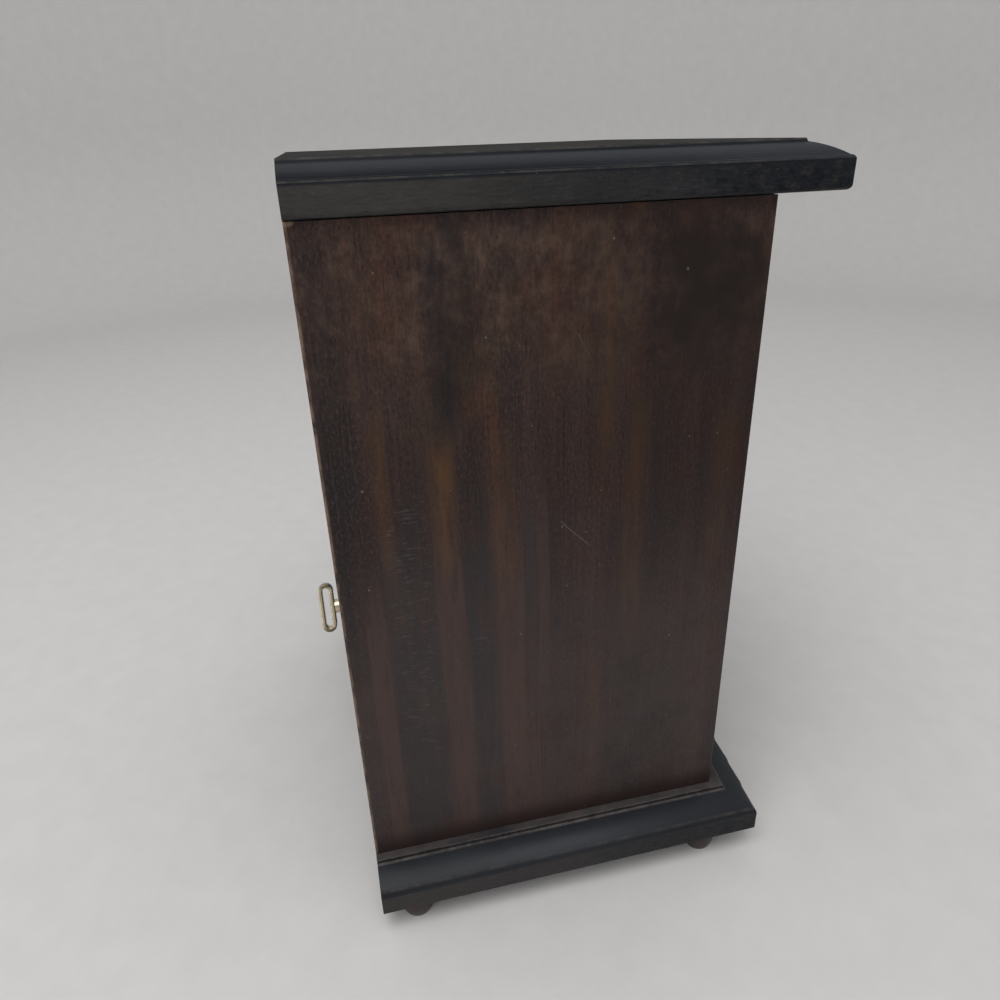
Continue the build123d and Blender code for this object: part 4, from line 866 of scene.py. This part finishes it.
def soft_block(name, node, body, columns, rows, height_at, pull):
    """A closed pad: a top at height_at(u, v, x, y), sides pulled in between the corners, a flat foot."""
    low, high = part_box(node)
    middle = (low + high) / 2
    half_x, half_y = (high.x - low.x) / 2, (high.y - low.y) / 2
    pad = bmesh.new()
    grid = []
    for i, u in enumerate(columns):
        line = []
        for j, v in enumerate(rows):
            x = middle.x + u * (half_x - pull * (1 - v * v))
            y = middle.y + v * (half_y - pull * (1 - u * u))
            line.append(pad.verts.new((x, y, height_at(u, v, x, y))))
        grid.append(line)
    last_i, last_j = len(columns) - 1, len(rows) - 1
    for i in range(last_i):
        for j in range(last_j):
            pad.faces.new((grid[i][j], grid[i + 1][j], grid[i + 1][j + 1], grid[i][j + 1]))
    rim = [grid[i][0] for i in range(last_i)] + [grid[last_i][j] for j in range(last_j)]
    rim += [grid[i][last_j] for i in range(last_i, 0, -1)]
    rim += [grid[0][j] for j in range(last_j, 0, -1)]
    foot = [pad.verts.new((v.co.x, v.co.y, low.z)) for v in rim]
    for k, vertex in enumerate(rim):
        after = (k + 1) % len(rim)
        pad.faces.new((vertex, foot[k], foot[after], rim[after]))
    pad.faces.new(foot)
    bmesh.ops.recalc_face_normals(pad, faces=pad.faces)
    mesh = bpy.data.meshes.new(name)
    pad.to_mesh(mesh)
    pad.free()
    for face in mesh.polygons:
        face.use_smooth = len(face.vertices) < 5
    made = bpy.data.objects.new(name, mesh)
    bpy.context.scene.collection.objects.link(made)
    mesh.materials.append(velvet)
    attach(made, body)
    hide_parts(node)
    return made


def crowded(count, strength):
    """Places from -1 to 1 that crowd towards both ends, where an edge rounds over."""
    even = [2 * i / count - 1 for i in range(count + 1)]
    return [sin(pi / 2 * place) * strength + place * (1 - strength) for place in even]


ring_low, ring_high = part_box("ring_pad")
roll_count = 8
roll_cells = 14
below_slits = 0.0058
slit_height = ring_low.z + below_slits
roll_rows = []
for roll in range(roll_count):
    for step in range(roll_cells):
        turn = pi * step / roll_cells
        roll_rows.append(-1 + (2 * roll + 1 - cos(turn)) / roll_count)
roll_rows.append(1.0)


def roll_height(u, v, x, y):
    """Eight full rolls side by side, each a little different, rounded over at both ends."""
    place = (v + 1) / 2 * roll_count
    roll = min(int(place), roll_count - 1)
    across = 2 * (place - roll) - 1
    full = max(0.0, 1 - abs(across) ** 2.6) ** 0.5
    end = max(0.0, 1 - abs(u) ** 14) ** 0.5
    own = 1 + 0.035 * noise.noise(Vector((roll * 7.3, 1.7, 0.4)))
    sag = 0.00035 * noise.noise(Vector((x * 70, y * 40, roll * 3.1)))
    crease = 0.00012 * noise.noise(Vector((x * 420, y * 110, roll * 5.7)))
    lift = (ring_high.z - slit_height) * own - 0.0004
    return slit_height + (lift + (sag + crease) * full) * full * (0.30 + 0.70 * end) * end**0.25


cover_frames = 10
most_swell = 0.0008
across_share = 0.4


def stuffed(pad, held, low, high):
    """Swell a cover over its filling with the cloth solver; held points stay, and slits keep open."""
    group = pad.vertex_groups.new(name="glued")
    group.add(held, 1.0, "REPLACE")
    cover = pad.modifiers.new("cover", "CLOTH")
    cover.settings.vertex_group_mass = "glued"
    cover.settings.mass = 0.05
    cover.settings.quality = 6
    cover.settings.use_pressure = True
    cover.settings.uniform_pressure_force = 400.0
    cover.settings.shrink_min = -0.06
    cover.settings.effector_weights.gravity = 0.0
    cover.point_cache.frame_start = 1
    cover.point_cache.frame_end = cover_frames
    for number in range(1, cover_frames + 1):
        bpy.context.scene.frame_set(number)
    shaped = pad.evaluated_get(bpy.context.evaluated_depsgraph_get())
    pairs = zip(shaped.data.vertices, pad.data.vertices)
    moves = [after.co - before.co for after, before in pairs]
    pad.modifiers.remove(cover)
    pad.vertex_groups.remove(group)
    bpy.context.scene.frame_set(1)
    for vertex, move in zip(pad.data.vertices, moves):
        move.y *= across_share
        if move.length > most_swell:
            move *= most_swell / move.length
        swollen = vertex.co + move
        limits = zip(swollen, low, high)
        vertex.co = [min(max(place, least), most) for place, least, most in limits]


ring_columns = crowded(64, 0.75)
ring_pull = 0.0004
ring_roll = soft_block(
    "velvet_ring_roll", "ring_pad", "case", ring_columns, roll_rows, roll_height, ring_pull
)
top_of_glue = slit_height + 0.0004
glued = [vertex.index for vertex in ring_roll.data.vertices if vertex.co.z < top_of_glue]
stuffed(ring_roll, glued, ring_low, ring_high)
pad_columns, pad_rows = crowded(70, 0.9), crowded(56, 0.9)
pad_pull = 0.0005
pad_lip = 0.0005
below_top = 0.0007
for node, body, name in (
    ("tray_pad", "case", "velvet_tray_pad"),
    ("lower_drawer_pad", "lower_drawer", "velvet_lower_drawer_pad"),
    ("upper_drawer_pad", "upper_drawer", "velvet_upper_drawer_pad"),
):
    pad_low, pad_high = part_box(node)

    def pad_height(u, v, x, y):
        """A thin pad, rounded at its edges, crowned and slightly uneven."""
        edge = (max(0.0, 1 - abs(u) ** 40) * max(0.0, 1 - abs(v) ** 40)) ** 0.5
        crown = 0.0006 * (1 - u * u) * (1 - v * v)
        dents = 0.00022 * noise.noise(Vector((x * 38, y * 38, pad_low.z * 50)))
        return pad_low.z + pad_lip + edge * (pad_high.z - pad_low.z - below_top + crown + dents)

    pad = soft_block(name, node, body, pad_columns, pad_rows, pad_height, pad_pull)

# The studio: a pale paper floor that sweeps up into a wall all round, a broad soft lamp overhead, a smaller
# one at the left rear, and a soft fill from the world.
floor_flat = 1.15
sweep_radius = 0.30
sweep_steps = 8
wall_height = 1.1
profile = [(floor_flat * 0.5, 0.0), (floor_flat, 0.0)]
for step in range(1, sweep_steps + 1):
    turn = pi / 2 * step / sweep_steps
    profile.append((floor_flat + sweep_radius * sin(turn), sweep_radius * (1 - cos(turn))))
profile.append((floor_flat + sweep_radius, wall_height))
studio = bmesh.new()
around = 96
angles = [2 * pi * i / around for i in range(around)]
rows = []
for reach, rise in profile:
    rows.append([studio.verts.new((reach * cos(a), reach * sin(a), rise)) for a in angles])
middle = studio.verts.new((0.0, 0.0, 0.0))
for i in range(around):
    j = (i + 1) % around
    studio.faces.new((middle, rows[0][i], rows[0][j]))
    for low, high in zip(rows, rows[1:]):
        studio.faces.new((low[i], high[i], high[j], low[j]))
bmesh.ops.recalc_face_normals(studio, faces=studio.faces)
mesh = bpy.data.meshes.new("studio_sweep")
studio.to_mesh(mesh)
studio.free()
for face in mesh.polygons:
    face.use_smooth = True
sweep = bpy.data.objects.new("studio_sweep", mesh)
bpy.context.scene.collection.objects.link(sweep)
paper_tones = (0.595, 0.580, 0.565), (0.565, 0.550, 0.535)
paper, _, shader, _ = plain("pale_paper", "", 60.0, 5.0, 0.6, *paper_tones)
shader.inputs["Roughness"].default_value = 0.75
mesh.materials.append(paper)

world = bpy.data.worlds.new("soft_room")
world.use_nodes = True
sky = world.node_tree.nodes["Background"]
sky.inputs["Color"].default_value = (0.93, 0.96, 1.0, 1.0)
sky.inputs["Strength"].default_value = 0.75
bpy.context.scene.world = world


def soft_lamp(name, place, target, width, watts, colour):
    """A square area lamp turned towards a point."""
    lamp = bpy.data.lights.new(name, "AREA")
    lamp.shape = "SQUARE"
    lamp.size = width
    lamp.energy = watts
    lamp.color = colour
    made = bpy.data.objects.new(name, lamp)
    made.location = place
    made.rotation_euler = (Vector(target) - Vector(place)).to_track_quat("-Z", "Y").to_euler()
    bpy.context.scene.collection.objects.link(made)


soft_lamp("overhead_lamp", (-0.35, 0.25, 1.25), (0.0, 0.0, 0.1), 0.9, 8.2, (1.0, 0.985, 0.96))
soft_lamp("left_lamp", (-0.85, 0.75, 0.55), (0.0, 0.0, 0.12), 0.6, 2.5, (0.95, 0.98, 1.0))

# The camera stands where the photographer's did: a phone held beside the rear of the left side, about as
# high as the lid, turned a little towards the front and tilted down.
heading, tilt, lean = radians(-12.44), radians(25.73), radians(-2.08)
ahead = Vector((cos(heading) * cos(tilt), sin(heading) * cos(tilt), -sin(tilt)))
level_right = ahead.cross(Vector((0.0, 0.0, 1.0))).normalized()
level_up = level_right.cross(ahead)
right = cos(lean) * level_right + sin(lean) * level_up
up = -sin(lean) * level_right + cos(lean) * level_up
lens = bpy.data.cameras.new("photo_camera")
lens.sensor_width = 36.0
lens.lens = 27.19
lens.clip_start = 0.01
lens.clip_end = 20.0
camera = bpy.data.objects.new("photo_camera", lens)
beside_panel, ahead_of_back, above_base = 0.2045, 0.0073, 0.2409
camera_place = (side_low.x - beside_panel, back_y - ahead_of_back, panel_bottom + above_base)
turned_to = Matrix((right, up, -ahead)).transposed().to_4x4()
camera.matrix_world = Matrix.Translation(camera_place) @ turned_to
bpy.context.scene.collection.objects.link(camera)
bpy.context.scene.camera = camera
bpy.context.scene.view_settings.view_transform = "Standard"
